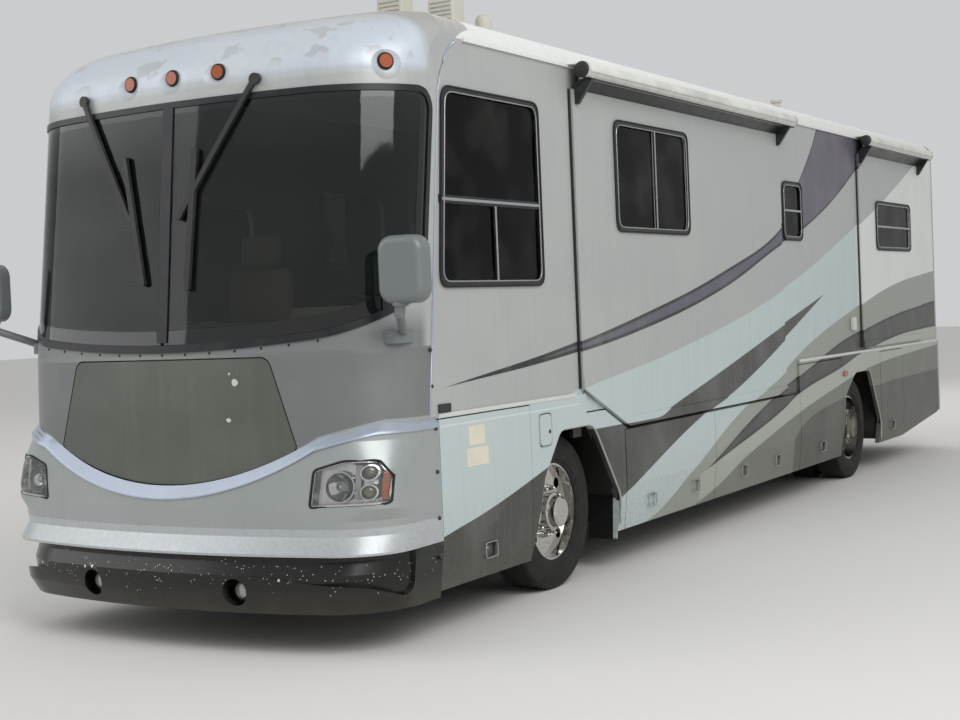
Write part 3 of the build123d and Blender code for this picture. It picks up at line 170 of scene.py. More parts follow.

# paint: the coach's own graphics, with painted sunlight on the tail and a painted reflection of the shadowed
# grass low down, as heights over the station along the side

sideSpan, curveTop = (-2.5, 9.1), 3.6
paint = {
    "wall": "#adb0ae", "pale": "#bccaca", "pinstripe": "#d3dadb", "band": "#969b92", "charcoal": "#40423f",
    # rear is the pale band's tone behind the tail: pale paint, painted lighter as sunlit
    "light": "#aab0a6", "lower": "#70736a", "swoosh": "#5a5563", "outline": "#212027", "rear": "#dce0dc",
    # shade is a painted reflection of the shadowed grass on the lower side, not paint
    "doorDark": "#3c3f3b", "shade": "#474b43", "roofEdge": "#e1e3df", "lining": "#7d7568",
    # brow is paler and bluer than the wall: chalky paint, and painted sky light on the upward-facing brow
    "underseal": "#151514", "frame": "#26282c", "mask": "#7c807e", "brow": "#c6ced6", "primer": "#b3b5b6",
    "hood": "#5f645c", "smile": "#a3a9a8", "lip": "#b9bec1", "bumper": "#20211e", "chip": "#d2d3cf",
    "dirt": "#a1947c", "streak": "#8c887e", "chalk": "#cfcfca", "dust": "#6b6757",
}
# each boundary is a row of (station, height) in metres
edges = {
    "swooshFoot": (
        (-1.281, 1.303), (-0.087, 1.389), (1.054, 1.517), (2.478, 1.764), (3.808, 2.112), (4.469, 2.265),
        (5.756, 2.735), (6.536, 3.156)),
    "swooshHead": (
        (-1.281, 1.307), (-0.082, 1.442), (1.063, 1.615), (2.49, 1.888), (3.822, 2.25), (4.356, 2.647),
        (4.699, 2.937), (4.882, 3.139)),
    "paleHead": (
        (-2.4, 1.16), (-0.05, 1.16), (0.19, 1.19), (1.7, 1.371), (3.77, 1.734), (5.96, 2.329),
        (6.84, 2.605), (7.76, 2.929), (8.9, 3.35)),
    "doorFoot": ((-2.4, 0.36), (-1.43, 0.534), (-1.0, 0.606), (-0.47, 0.722), (0.2, 0.89)),
    "paleFoot": (
        (0.0, 0.19), (0.4, 0.2), (1.11, 0.254), (1.88, 0.512), (2.85, 0.852), (3.7, 1.052),
        (4.18, 1.198), (4.58, 1.307), (5.65, 1.529), (7.1, 1.774), (8.81, 1.913)),
    "charcoalHead": ((0.5, 0.93), (1.22, 0.926), (1.56, 0.994), (2.46, 1.177), (3.85, 1.473), (4.94, 1.702)),
    "charcoalFoot": (
        (0.5, 0.40), (0.81, 0.499), (2.16, 0.899), (2.58, 0.985), (3.16, 1.138), (3.83, 1.344), (4.94, 1.702)),
    "darkHead": (
        (2.11, 0.482), (3.38, 0.858), (4.26, 1.048), (4.89, 1.173), (5.41, 1.274), (6.0, 1.353),
        (7.1, 1.476), (7.97, 1.538), (8.77, 1.588)),
    "darkFoot": (
        (2.11, 0.482), (2.34, 0.525), (3.74, 0.783), (4.14, 0.884), (5.33, 1.044), (5.88, 1.135),
        (7.07, 1.258), (8.86, 1.313)),
    "lightFoot": (
        (1.9, 0.25), (2.315, 0.33), (2.9, 0.494), (3.314, 0.579), (4.208, 0.741), (4.314, 0.758),
        (5.28, 0.894), (5.973, 0.98), (8.86, 1.12)),
    # the top of the shade layer, a painted reflection of the shadowed grass
    "shade": ((3.9, 0.45), (4.251, 0.626), (5.367, 0.767), (6.6, 0.82), (8.83, 0.85)),
}
# the seam behind the first door, the start of the tail, behind which the pale band is painted lighter as
# sunlit, the pinstripe's height and half width, the dark line round a stripe, and the outermost face below the
# belly
stripe = {"seam": (0.14, 0.15), "tail": (5.9, 5.93), "pin": (1.1, 0.0045), "line": 0.022, "outer": 1.277}


def under(add, share, height, edge, margin=0.0):
    # 1 below the boundary moved down by the margin, 0 above it: a smooth curve of height over the side
    low, high = sideSpan
    curve = add("FloatCurve", 1.0, share).node
    drawn = curve.mapping.curves[0]
    rows = [((s - low) / (high - low), z / curveTop) for s, z in edges[edge]]
    drawn.points[0].location, drawn.points[1].location = rows[0], rows[-1]
    for row in rows[1:-1]:
        drawn.points.new(*row)
    for point in drawn.points:
        point.handle_type = "AUTO_CLAMPED"
    curve.mapping.extend = "EXTRAPOLATED"
    curve.mapping.update()
    level = add("MULTIPLY_ADD", curve.outputs[0], curveTop, -margin)
    return add("MapRange", add("SUBTRACT", height, level), 0.002, -0.002)


def onPiece(add):
    # the piece's own place in metres, whole and by direction
    place = add("TexCoord", output="Object")
    split = add("SeparateXYZ", place).node.outputs
    return place, split["X"], split["Y"], split["Z"]


def inward(add, place, heart):
    # 1 on faces that look at the cabin's heart: the surface direction against the line from there
    outward = add("VectorMath SUBTRACT", place, heart)
    facing = add("VectorMath DOT_PRODUCT", outward, add("TexCoord", output="Normal"), output="Value")
    return add("LESS_THAN", facing, 0.0)


def weathered(add, place, height, base, chalk=0.14, rough=(0.34, 0.52)):
    # sun-faded: upright rain streaks 40 mm wide, dust near the ground, and clouds of chalk half a metre
    # across that dull the gloss
    streak = add("TexNoise", add("Mapping", place, Scale=(3, 3, 0.12)), Scale=9.0, Detail=4.0)
    cloud = add("TexNoise", place, Scale=2.2, Detail=5.0)
    speck = add("MapRange", add("TexNoise", place, Scale=60.0, Detail=2.0), 0.35, 0.7)
    toned = add("MixRGB", add("MapRange", streak, 0.5, 0.78, 0.0, 0.12), base, paint["streak"])
    toned = add("MixRGB", add("MapRange", cloud, 0.42, 0.72, 0.0, chalk), toned, paint["chalk"])
    dusty = add("MULTIPLY", add("MapRange", height, 0.75, 0.22, 0.0, 0.4), speck)
    return add("MixRGB", dusty, toned, paint["dust"]), add("MapRange", cloud, 0.3, 0.7, *rough)


def chips(add, place, scale, sparse):
    # flaked spots a few millimetres wide: hearts of scattered cells where a coarser noise is high
    fleck = add("LESS_THAN", add("TexVoronoi", place, Scale=scale), 0.17)
    patch = add("TexNoise", place, Scale=scale * 0.37, Detail=4.0)
    return add("MULTIPLY", fleck, add("GREATER_THAN", patch, sparse))


def sideEnamel(add, back, framed=None, belly=0.0, skin=1.232):
    # chalky acrylic enamel: each stripe lies over the ones before it where its two masks meet, under its
    # head curve and above its foot; raised window frames are charcoal, and faces further in than the
    # skin are board, or underseal below the belly
    place, x, y, z = onPiece(add)
    low, high = sideSpan
    before, after = (station(s) for s in stripe["seam"])
    ahead = add("MapRange", y, after, before)
    behind = add("MapRange", y, before, after)
    below = functools.partial(under, add, add("MapRange", y, station(low), station(high)), z)
    pale = below("paleHead")
    layers = [
        # behind the tail the pale band is painted lighter: painted sunlight
        (pale, add("MapRange", y, *(station(s) for s in stripe["tail"])), "rear"),
        (ahead, add("COMPARE", z, *stripe["pin"]), "pinstripe"),
        (ahead, below("doorFoot"), "doorDark"),
        (behind, below("paleFoot"), "band"),
    ]
    # shade, the last of these, is a painted reflection of the shadowed grass, darker below its edge
    for edge, start, tone in (("darkFoot", 2.0, "light"), ("lightFoot", 1.9, "lower"), ("shade", 4.0, "shade")):
        layers.append((below(edge), add("MapRange", y, station(start), station(start + 0.01)), tone))
    for name, margin, tone in (
        ("charcoal", 0.0, "charcoal"), ("dark", 0.0, "outline"), ("dark", stripe["line"], "charcoal"),
        ("swoosh", 0.0, "outline"), ("swoosh", stripe["line"], "swoosh"),
    ):
        head = below(name + "Head", margin)
        head = add("MULTIPLY", head, behind) if name == "charcoal" else head
        layers.append((head, add("SUBTRACT", 1.0, below(name + "Foot", -margin)), tone))
    toned = add("MixRGB", pale, paint["wall"], paint["pale"])
    for one, other, tone in layers:
        toned = add("MixRGB", add("MULTIPLY", one, other), toned, paint[tone])
    toned, gloss = weathered(add, place, z, toned)
    across = add("ABSOLUTE", x)
    if framed:
        face, foot = framed
        proud = add("MULTIPLY", add("GREATER_THAN", across, face), add("GREATER_THAN", z, foot))
        toned = add("MixRGB", proud, toned, paint["frame"])
    outer = add("MapRange", z, belly, belly + 0.002, stripe["outer"], skin)
    facing = inward(add, place, add("CombineXYZ", 0.0, y, z))
    hidden = add("MAXIMUM", facing, add("LESS_THAN", across, outer))
    backed = add("MixRGB", add("LESS_THAN", z, belly), paint[back], paint["underseal"])
    return add("MixRGB", hidden, toned, backed), gloss, 0.15


# the smile line: an arc through the dip, then a straight slope, level at the ends
smileLine = {"radius": 1.848, "dip": 0.848, "slope": 0.26, "start": 0.855, "level": 1.165}
cabHeart = (0, station(-0.9))


def capEnamel(add):
    # silver enamel: above a wavy level the brow is paler and bluer, partly chalky paint and partly painted sky
    # light where it faces up, and its clear coat peels in ragged flakes to grey primer; dirt gathers over the
    # crown
    place, x, y, z = onPiece(add)
    rise = add("MULTIPLY_ADD", add("TexNoise", place, Scale=3.0, Detail=4.0), 0.06, z)
    fore = add("MapRange", y, station(-1.36), station(-1.42))
    # the brow's tone is chalky paint with painted sky light where the brow faces up
    brow = add("MULTIPLY", add("MapRange", rise, 2.93, 2.99), fore)
    nose = add("MapRange", y, station(-1.5), station(-1.56))
    apron = add("MULTIPLY", add("MapRange", z, 1.75, 1.6), nose)
    ragged = add("MapRange", add("TexNoise", place, Scale=5.0, Detail=9.0), 0.56, 0.575, 0.0, 0.75)
    peeled = add("MULTIPLY", ragged, add("MapRange", z, 2.97, 3.02))
    toned = add("MixRGB", brow, paint["wall"], paint["brow"])
    toned = add("MixRGB", peeled, toned, paint["primer"])
    toned = add("MixRGB", add("MapRange", z, 3.17, 3.32, 0.0, 0.55), toned, paint["dirt"])
    toned, gloss = weathered(add, place, z, toned, 0.25, (0.35, 0.6))
    toned = add("MixRGB", apron, toned, paint["mask"])
    toned = add("MixRGB", inward(add, place, (*cabHeart, 2.1)), toned, paint["lining"])
    return toned, gloss, 0.2


def maskEnamel(add):
    # metallic enamel, grey above the smile line, silver below, lighter on the lip, chipped to filler
    place, x, y, z = onPiece(add)
    radius, side = smileLine["radius"], add("ABSOLUTE", x)
    root = add("SQRT", add("MULTIPLY_ADD", add("MULTIPLY", side, side), -1.0, radius ** 2))
    arc = add("SUBTRACT", smileLine["dip"] + radius, root)
    straight = add("MULTIPLY_ADD", side, smileLine["slope"], smileLine["start"])
    line = add("MINIMUM", add("MINIMUM", arc, straight), smileLine["level"] + 0.001)
    beneath = add("MapRange", add("SUBTRACT", line, z), -0.004, 0.0)
    toned = add("MixRGB", beneath, paint["mask"], paint["smile"])
    toned = add("MixRGB", add("MapRange", z, 0.645, 0.64), toned, paint["lip"])
    toned, gloss = weathered(add, place, z, toned, 0.08, (0.26, 0.4))
    toned = add("MixRGB", chips(add, place, 26.0, 0.72), toned, paint["chip"])
    toned = add("MixRGB", inward(add, place, (*cabHeart, 0.9)), toned, paint["underseal"])
    return toned, gloss, 0.4


def fadedEnamel(add, base, metallic=0.2, rough=(0.3, 0.5), chalk=0.1, flakes=()):
    # enamel of one faded colour; flakes to pale filler are balls whose rim a noise of 20 mm breaks up
    place, x, y, z = onPiece(add)
    toned, gloss = weathered(add, place, z, base, chalk, rough)
    jitter = add("TexNoise", place, Scale=35.0, Detail=4.0, output="Color")
    ragged = add("VectorMath MULTIPLY_ADD", jitter, (0.02, 0.02, 0.02), place)
    for x1, s1, z1, radius in flakes:
        apart = add("VectorMath DISTANCE", ragged, (x1, station(s1), z1), output="Value")
        toned = add("MixRGB", add("LESS_THAN", apart, radius), toned, paint["chip"])
    return toned, gloss, metallic


def bumperEnamel(add):
    # glossy near-black enamel, stone chips to pale filler that thin out with the distance from the crease
    place, x, y, z = onPiece(add)
    offCrease = add("ABSOLUTE", add("SUBTRACT", z, 0.41))
    fine = chips(add, place, 60.0, add("MapRange", offCrease, 0.015, 0.12, 0.5, 0.72))
    broad = chips(add, place, 19.0, add("MapRange", offCrease, 0.01, 0.06, 0.54, 0.8))
    toned = add("MixRGB", add("MAXIMUM", fine, broad), paint["bumper"], paint["chip"])
    cloud = add("TexNoise", place, Scale=8.0, Detail=5.0)
    dusty = add("MULTIPLY", add("MapRange", z, 0.36, 0.2, 0.0, 0.5), cloud)
    toned = add("MixRGB", dusty, toned, paint["dust"])
    toned = add("MixRGB", inward(add, place, (*cabHeart, 0.42)), toned, paint["underseal"])
    return toned, 0.22, 0.3


# the rubber's inner line: the foot's height over station, the side's station over height, the rim
screenEdge = {"foot": (0.46, 2.515), "side": (0.1467, -1.7798), "rim": 2.808, "bar": 0.03}


def laminatedGlass(add):
    # laminated glass, faintly green, a fired black border along the rubber; it mirrors when seen edge-on
    place, x, y, z = onPiece(add)
    behind = add("SUBTRACT", y, frontAxleY)
    overFoot = add("SUBTRACT", z, add("MULTIPLY_ADD", behind, *screenEdge["foot"]))
    border = add("LESS_THAN", overFoot, 0.085)
    for gap, width in (
        (add("SUBTRACT", screenEdge["rim"], z), 0.02),
        (add("SUBTRACT", add("MULTIPLY_ADD", z, *screenEdge["side"]), behind), 0.09),
        (add("SUBTRACT", add("ABSOLUTE", x), screenEdge["bar"]), 0.01),
    ):
        border = add("MAXIMUM", border, add("LESS_THAN", gap, width))
    shade = add("MapRange", z, 2.5, 2.8, 0.0, 0.25)
    haze = add("MapRange", add("TexNoise", place, Scale=1.7, Detail=3.0), 0.3, 0.7, 0.34, 0.46)
    film = add("ADD", add("Fresnel", 1.45), haze)
    cover = add("MAXIMUM", add("ADD", film, shade), border)
    toned = add("MixRGB", border, "#141d1a", "#070808")
    return toned, 0.04, 0.0, {"IOR": 1.6, "Alpha": cover}


def tintedGlass(add, tint, cover):
    # body-tinted glass, mirroring more the flatter it is seen, with dried rain in clouds 0.3 m wide
    cloud = add("TexNoise", add("TexCoord", output="Object"), Scale=3.0, Detail=6.0)
    haze = add("MapRange", cloud, 0.45, 0.75, 0.0, 0.08)
    veil = add("ADD", add("ADD", add("Fresnel", 1.5), haze), cover, use_clamp=True)
    toned = add("MixRGB", haze, tint, "#a9a79c")
    return toned, add("ADD", haze, 0.03), 0.0, {"IOR": 1.5, "Alpha": veil}


def moulded(add, base, rough, metallic=0.0, coat=0.0):
    # moulded, plated or rubber trim: soft patches of dust 0.15 m wide dull its gloss
    patch = add("TexNoise", add("TexCoord", output="Object"), Scale=7.0, Detail=7.0)
    toned = add("MixRGB", add("MapRange", patch, 0.42, 0.75, 0.0, 0.1), base, "#7b7464")
    gloss = add("MapRange", patch, 0.35, 0.7, 0.85 * rough, min(1.2 * rough, 1.0))
    return toned, gloss, metallic, {"Coat_Weight": coat}


def chromed(add):
    # chromed steel: nearly a mirror, hazed by dried water marks a few millimetres wide
    marks = add("TexNoise", add("TexCoord", output="Object"), Scale=90.0, Detail=3.0)
    spots = add("MapRange", marks, 0.45, 0.8)
    toned = add("MixRGB", spots, "#cfcecb", "#9b978d")
    return toned, add("MapRange", spots, 0.0, 1.0, 0.07, 0.3), 1.0


def tyreRubber(add, axle):
    # tread rubber: saw waves give ribs every 42 mm, sipes every 36 mm and rings on a dusty sidewall; the
    # grooves and sipes are painted near black as shade
    place, x, y, z = onPiece(add)
    along, over = add("SUBTRACT", y, station(axle)), add("SUBTRACT", z, axleHeight)
    radius = add("VectorMath LENGTH", add("CombineXYZ", 0.0, along, over), output="Value")
    onTread = add("MapRange", radius, 0.452, 0.456)
    grooves = add("MapRange", add("PINGPONG", add("ABSOLUTE", x), 0.021), 0.003, 0.006)
    girth = add("MULTIPLY", add("ARCTAN2", over, along), axleHeight)
    sipes = add("MapRange", add("PINGPONG", girth, 0.018), 0.0015, 0.003)
    tread = add("MULTIPLY", grooves, sipes)
    rings = add("MapRange", add("PINGPONG", radius, 0.017), 0.004, 0.006)
    bump = add("Bump", Height=add("MixRGB", onTread, rings, tread), Strength=0.6, Distance=0.004)
    dust = add("MapRange", add("TexNoise", place, Scale=14.0, Detail=5.0), 0.35, 0.75, 0.0, 0.45)
    # painted shade: the tread's grooves and sipes are darker than the rubber around them
    grooveShade = add("MULTIPLY", onTread, add("SUBTRACT", 1.0, tread))
    toned = add("MixRGB", grooveShade, add("MixRGB", dust, "#141413", "#37342d"), "#0b0b0b")
    return toned, 0.85, 0.0, {"Normal": bump}


def grainedHide(add):
    # grained hide, pebbles about 2 mm across from scattered cells
    grain = add("TexVoronoi", add("TexCoord", output="Object"), Scale=480.0)
    bump = add("Bump", Height=grain, Strength=0.25, Distance=0.001)
    return "#8d8069", 0.55, 0.0, {"Normal": bump}


def rustedMetal(add, base, rough=0.7):
    # sand-cast or undersealed metal: lumpy at 5 mm, rust blooming where a cloudy noise is high
    place = add("TexCoord", output="Object")
    rust = add("MapRange", add("TexNoise", place, Scale=11.0, Detail=6.0), 0.52, 0.66, 0.0, 0.6)
    lumps = add("TexNoise", place, Scale=180.0, Detail=2.0)
    bump = add("Bump", Height=lumps, Strength=0.3, Distance=0.002)
    return add("MixRGB", rust, base, "#5a3a26"), rough, 0.0, {"Normal": bump}


def twoLevels(add, low, high, level, rough, metallic=0.0):
    # two finishes that meet at a level, the first below it, both scuffed in patches 80 mm wide; on the awning
    # topper the lower one is painted shadow under the roller, not a finish
    place, x, y, z = onPiece(add)
    scuff = add("MapRange", add("TexNoise", place, Scale=12.0, Detail=6.0), 0.42, 0.72, 0.0, 0.2)
    toned = add("MixRGB", scuff, add("MixRGB", add("GREATER_THAN", z, level), low, high), "#6b6557")
    return toned, add("ADD", scuff, rough), metallic


def wovenCloth(add, base, threads):
    # plain-weave cloth: saw waves both ways, drawn wide enough to show, with dust in soft clouds
    place, x, y, z = onPiece(add)
    crossed = add("ADD", add("PINGPONG", y, threads), add("PINGPONG", z, threads))
    weave = add("MULTIPLY", crossed, 0.5 / threads)
    stain = add("MapRange", add("TexNoise", place, Scale=3.0, Detail=6.0), 0.4, 0.7, 0.0, 0.35)
    toned = add("MixRGB", stain, base, "#7d7464")
    bump = add("Bump", Height=weave, Strength=0.3, Distance=0.001)
    return toned, 0.92, 0.0, {"Sheen_Weight": 0.2, "Normal": bump}


# finishes of the solids: name, formula, its values and the nodes that take it

hoodFlakes = (
    (0.438, -2.06, 1.434, 0.011), (0.491, -2.054, 1.440, 0.009), (0.473, -2.057, 1.388, 0.021),
    (0.43, -2.067, 1.196, 0.014), (0.56, -2.057, 1.053, 0.006),
)
wallFrame, roomFrame = (1.2815, 1.5), (1.3062, 1.9)
finishes = (
    ("side wall enamel", sideEnamel, ("lining", wallFrame, 0.96), "left_wall right_wall"),
    ("entry door enamel", sideEnamel, ("lining", wallFrame), "entry_door"),
    ("slide-out room enamel", sideEnamel, ("lining", roomFrame, 1.0, stripe["outer"]),
        "front_slide rear_slide"),
    ("skirt enamel", sideEnamel, ("underseal",),
        " ".join(n for n in nodes if "_door_" in n) + " skirts fuel_door"),
    ("front cap enamel", capEnamel, (), "front_cap"),
    ("front mask enamel", maskEnamel, (), "front_mask"),
    ("hood enamel", fadedEnamel, (paint["hood"], 0.35, (0.3, 0.45), 0.05, hoodFlakes), "hood_panel"),
    ("bumper enamel", bumperEnamel, (), "bumper"),
    ("roof membrane", fadedEnamel, (paint["roofEdge"], 0.0, (0.5, 0.7)), "roof"),
    ("tail enamel", fadedEnamel, ("#a3a6a2", 0.2, (0.3, 0.5)), "rear_cap"),
    ("engine door enamel", fadedEnamel, ("#6f736e", 0.2, (0.35, 0.5)), "engine_door"),
    ("windscreen laminated glass", laminatedGlass, (), "windscreen"),
    ("grey privacy glass", tintedGlass, ("#060809", 0.16),
        "side_glass entry_glass front_slide_glass rear_slide_glass"),
    ("charcoal anodised aluminium", moulded, (paint["frame"], 0.35, 0.4), "window_frames"),
    ("moulded black plastic", moulded, ("#232425", 0.55), "steering_wheel wipers"),
    ("painted mirror shell", moulded, ("#767c7d", 0.38, 0.2), "mirrors"),
    ("vacuum-plated lamp reflector", twoLevels, ("#26282a", "#d2d2d0", 0.5, 0.14, 0.85), "headlamps"),
    ("amber acrylic", moulded, ("#a34a12", 0.2, 0.0, 0.5), "marker_lamps"),
    ("red acrylic", moulded, ("#8f120e", 0.2, 0.0, 0.5), "tail_lamps"),
    ("weathered roof plastic", fadedEnamel, ("#c2bfb4", 0.0, (0.5, 0.7)), "roof_units"),
    ("dash moulding", moulded, ("#b3b39f", 0.6), "dash"),
    ("seat leather", grainedHide, (), "seats"),
    ("chassis steel", rustedMetal, ("#191918",),
        "chassis_rails cross_beams fuel_tank receiver_hitch"),
    ("cast iron axle", rustedMetal, ("#262320", 0.75),
        "front_axle rear_axle engine left_knuckle right_knuckle"),
    ("floor with sealed underside", twoLevels, ("#1b1a18", "#7a6b55", 0.972, 0.7), "cabin_floor"),
    ("black bay primer", moulded, ("#1d1d1c", 0.6), "bays"),
    ("polished aluminium tube", moulded, ("#bfc0c1", 0.22, 1.0), "ladder"),
    # below the level the topper is painted dark as the shadow under the roller, over its shroud and brackets
    ("anodised awning roller over its shaded shroud", twoLevels, ("#262b2d", "#d9dad5", 3.056, 0.28, 0.3),
        "front_topper rear_topper"),
    ("chromed steel wheel", chromed, (), " ".join(n for n in nodes if n.endswith("_rim"))),
    ("front tyre rubber", tyreRubber, (0.0,), "front_left_tyre front_right_tyre"),
    ("rear tyre rubber", tyreRubber, (wheelbase,), "rear_left_tyre rear_right_tyre"),
)
made = {}
for name, formula, values, solids in finishes:
    made[name] = surface(name, formula, *values)
    for solid in solids.split():
        nodes[solid].data.materials.clear()
        nodes[solid].data.materials.append(made[name])
print("finishes set on", sum(len(row[-1].split()) for row in finishes), "solids of", len(nodes))

# trim materials, and those of the solids that pieces of this scene share

mouldedBlack, chrome = made["moulded black plastic"], made["chromed steel wheel"]
leather, amberLens = made["seat leather"], made["amber acrylic"]
rubber = surface("black rubber seal", moulded, "#101010", 0.7)
brightTrim = surface("silver moulding", fadedEnamel, "#a6afbd", 0.4, (0.25, 0.4), 0.03)
# white vinyl for the side light; on the belt mouldings its white is a painted highlight along the ledge
whiteVinylAndBeltHighlight = surface("white vinyl moulding, painted highlight on the belt", moulded, "#cdcfcb", 0.45)
silverTrim = surface("bright anodised aluminium", moulded, "#a7aaac", 0.28, 0.7)
lensClear = surface("clear polycarbonate lens", tintedGlass, "#c9cfcf", 0.06)
steelBright = surface("stainless steel", moulded, "#aeafad", 0.25, 1.0)
agedPaper = surface("aged blank label", moulded, "#d9d5c1", 0.85)
mirrorGlass = surface("mirror glass", moulded, "#aeb6b8", 0.03, 1.0)
# painted shade: a near-black finish for the inside of a vent slot
slotShade = surface("painted shade in a vent slot", moulded, "#0d0d0c", 0.9)
lampBowl = surface("vacuum-plated lamp reflector", moulded, "#c9c9c6", 0.12, 0.9)
fogGlass = surface("patterned fog lamp glass", moulded, "#a9adaa", 0.12, 0.5, 0.6)
projectorGlass = surface("projector lens glass", moulded, "#6b6850", 0.05, 0.3, 0.8)
archTrim = surface("rolled skirt edge", fadedEnamel, "#a9ada0", 0.2, (0.3, 0.45))
curtainCloth = surface("pleated curtain cloth", wovenCloth, "#e0dac8", 0.002)
awningVinyl = surface("laminated awning vinyl", wovenCloth, "#dadad5", 0.006)


# shape helpers

fullTurn = 2 * np.pi
bothSides = ((1, "left"), (-1, "right"))


def spread(x, s, z):
    # points from x, station and height, each given along the rows, the columns or both
    return np.stack(np.broadcast_arrays(x, station(s), z), -1)


def unit(rows):
    return rows / np.linalg.norm(rows, axis=1)[:, None]


def guides(out):
    # upright, or along the coach where the row is nearly upright itself
    return np.where(np.abs(out[:, 2:3]) > 0.9, [[0, 1, 0]], [[0, 0, 1]])


def addPiece(name, body, data, material, smooth=True):
    # an object of one finish, riding on its body if it has one
    data.materials.append(material)
    data.polygons.foreach_set("use_smooth", np.full(len(data.polygons), smooth))
    piece = bpy.data.objects.new(name, data)
    scene.collection.objects.link(piece)
    if body:
        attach(piece, body)
    return piece


def addMesh(name, body, points, faces, material, smooth=True):
    # one piece from plain arrays
    data = bpy.data.meshes.new(name)
    data.from_pydata(points.tolist(), [], faces.tolist() if hasattr(faces, "tolist") else faces)
    return addPiece(name, body, data, material, smooth)


def gridFaces(rows, columns, closed=False, flip=False):
    # quads between neighbours of a rows by columns grid; closed joins the last column to the first
    r, c = np.meshgrid(np.arange(rows - 1), np.arange(columns if closed else columns - 1), indexing="ij")
    first, after = r * columns + c, r * columns + (c + 1) % columns
    quads = np.stack([first, after, after + columns, first + columns], -1).reshape(-1, 4)
    return quads[:, ::-1] if flip else quads


def addGrid(name, body, points, material, closed=False, flip=False, thick=0.0):
    # points is rows x columns x 3; thick gives the sheet a second side and a rim
    rows, columns = points.shape[:2]
    piece = addMesh(name, body, points.reshape(-1, 3), gridFaces(rows, columns, closed, flip), material)
    if thick:
        shell = piece.modifiers.new("thickness", "SOLIDIFY")
        shell.thickness, shell.offset = thick, -1
    return piece


def addTube(name, body, path, radius, material, sides=8, ring=False):
    # circles square to a path: two unit vectors turned through the circle; ring joins the path's ends
    path = np.array(path, float)
    ahead = unit(np.roll(path, -1, 0) - np.roll(path, 1, 0) if ring else np.gradient(path, axis=0))
    side = unit(np.cross(ahead, np.tile([[1, 0.1, 0.0]], (len(path), 1)) if ring else guides(ahead)))
    up = np.cross(side, ahead)[:, None]
    turn = np.linspace(0, fullTurn, sides, endpoint=False)[None, :, None]
    points = path[:, None] + radius * (np.cos(turn) * side[:, None] + np.sin(turn) * up)
    rows = len(points)
    if ring:
        faces = gridFaces(rows + 1, sides, True) % (rows * sides)
    else:
        ends = [[(rows - 1) * sides + i for i in range(sides)][::-1], list(range(sides))]
        faces = gridFaces(rows, sides, True).tolist() + ends
    return addMesh(name, body, points.reshape(-1, 3), faces, material)


def addBoxes(name, body, boxes, material, bevel=0.0):
    # several blocks in one piece, as centre and size, edges rounded by a bevel
    signs = np.array([(a, b, c) for a in (-1, 1) for b in (-1, 1) for c in (-1, 1)], float)
    around = np.array([(0, 1, 3, 2), (4, 6, 7, 5), (0, 4, 5, 1), (2, 3, 7, 6), (0, 2, 6, 4), (1, 5, 7, 3)])
    points = np.concatenate([np.array(centre) + signs * np.array(size) / 2 for centre, size in boxes])
    faces = np.concatenate([around + 8 * i for i in range(len(boxes))])
    piece = addMesh(name, body, points, faces, material, False)
    if bevel:
        edge = piece.modifiers.new("rounded edges", "BEVEL")
        edge.width, edge.segments = bevel, 2
    return piece


def addDomes(name, body, rows, material, rings=5, sides=14):
    # rows of (place, outward direction, radius, height): flattened half balls standing on a face
    place = np.array([row[0] for row in rows], float)[:, None, None]
    out = unit(np.array([row[1] for row in rows], float))
    side = unit(np.cross(guides(out), out))
    up = np.cross(out, side)
    lift = np.linspace(0, np.pi / 2, rings)[None, :, None, None]
    turn = np.linspace(0, fullTurn, sides, endpoint=False)[None, None, :, None]
    radius, height = (np.array([row[i] for row in rows])[:, None, None, None] for i in (2, 3))
    side, up, out = side[:, None, None], up[:, None, None], out[:, None, None]
    level = np.cos(turn) * side + np.sin(turn) * up
    points = place + radius * np.cos(lift) * level + height * np.sin(lift) * out
    faces = np.concatenate([gridFaces(rings, sides, True) + i * rings * sides for i in range(len(rows))])
    return addMesh(name, body, points.reshape(-1, 3), faces, material)


def bend(before, corner, after, reach, steps):
    # a short parabola that starts and ends at the reach from the corner
    share = np.linspace(0, 1, steps)[:, None]
    start = corner + reach * (before - corner) / np.linalg.norm(before - corner)
    end = corner + reach * (after - corner) / np.linalg.norm(after - corner)
    return (1 - share) ** 2 * start + 2 * share * (1 - share) * corner + share ** 2 * end


def rounded(corners, radius):
    # a closed outline with every corner bent
    corners = np.array(corners, float)
    rows = zip(np.roll(corners, 1, 0), corners, np.roll(corners, -1, 0))
    return np.concatenate([bend(*row, radius, 5) for row in rows])


# the front end's skin, as the solids have it: nose station and corner radius over height

skins = {
    "mask": {
        "half": 1.292, "z": (0.4, 1.5, 2.83, 2.93),
        "nose": (-2.112, -2.08, -1.93, -1.917), "corner": (0.475, 0.49, 0.55, 0.55),
    },
    "fascia": {
        "half": 1.295, "z": (0.4, 0.6, 0.68, 0.74, 0.82, 0.93, 1.07, 1.2),
        "nose": (-2.162, -2.16, -2.155, -2.155, -2.15, -2.14, -2.125, -2.11),
        "corner": (0.39, 0.38, 0.34, 0.21, 0.19, 0.25, 0.44, 0.46),
    },
}
sweep, seamStation = 0.196, -1.455
# shares of the way round the front where the wide arc and the corner end
arcShare, cornerShare = 0.55, 0.85


def section(skin, z, proud):
    # a plan section's two circles: the wide arc across the nose and the corner inside it
    rows = skins[skin]
    nose = np.interp(z, rows["z"], rows["nose"]) - proud
    corner = np.interp(z, rows["z"], rows["corner"]) + proud
    half = rows["half"] + proud
    wide = (half ** 2 + sweep ** 2) / (2 * sweep)
    centreX = half - corner
    centreY = nose + wide
    cornerY = centreY - np.sqrt((wide - corner) ** 2 - centreX ** 2)
    return wide, centreX, centreY, cornerY, corner, half


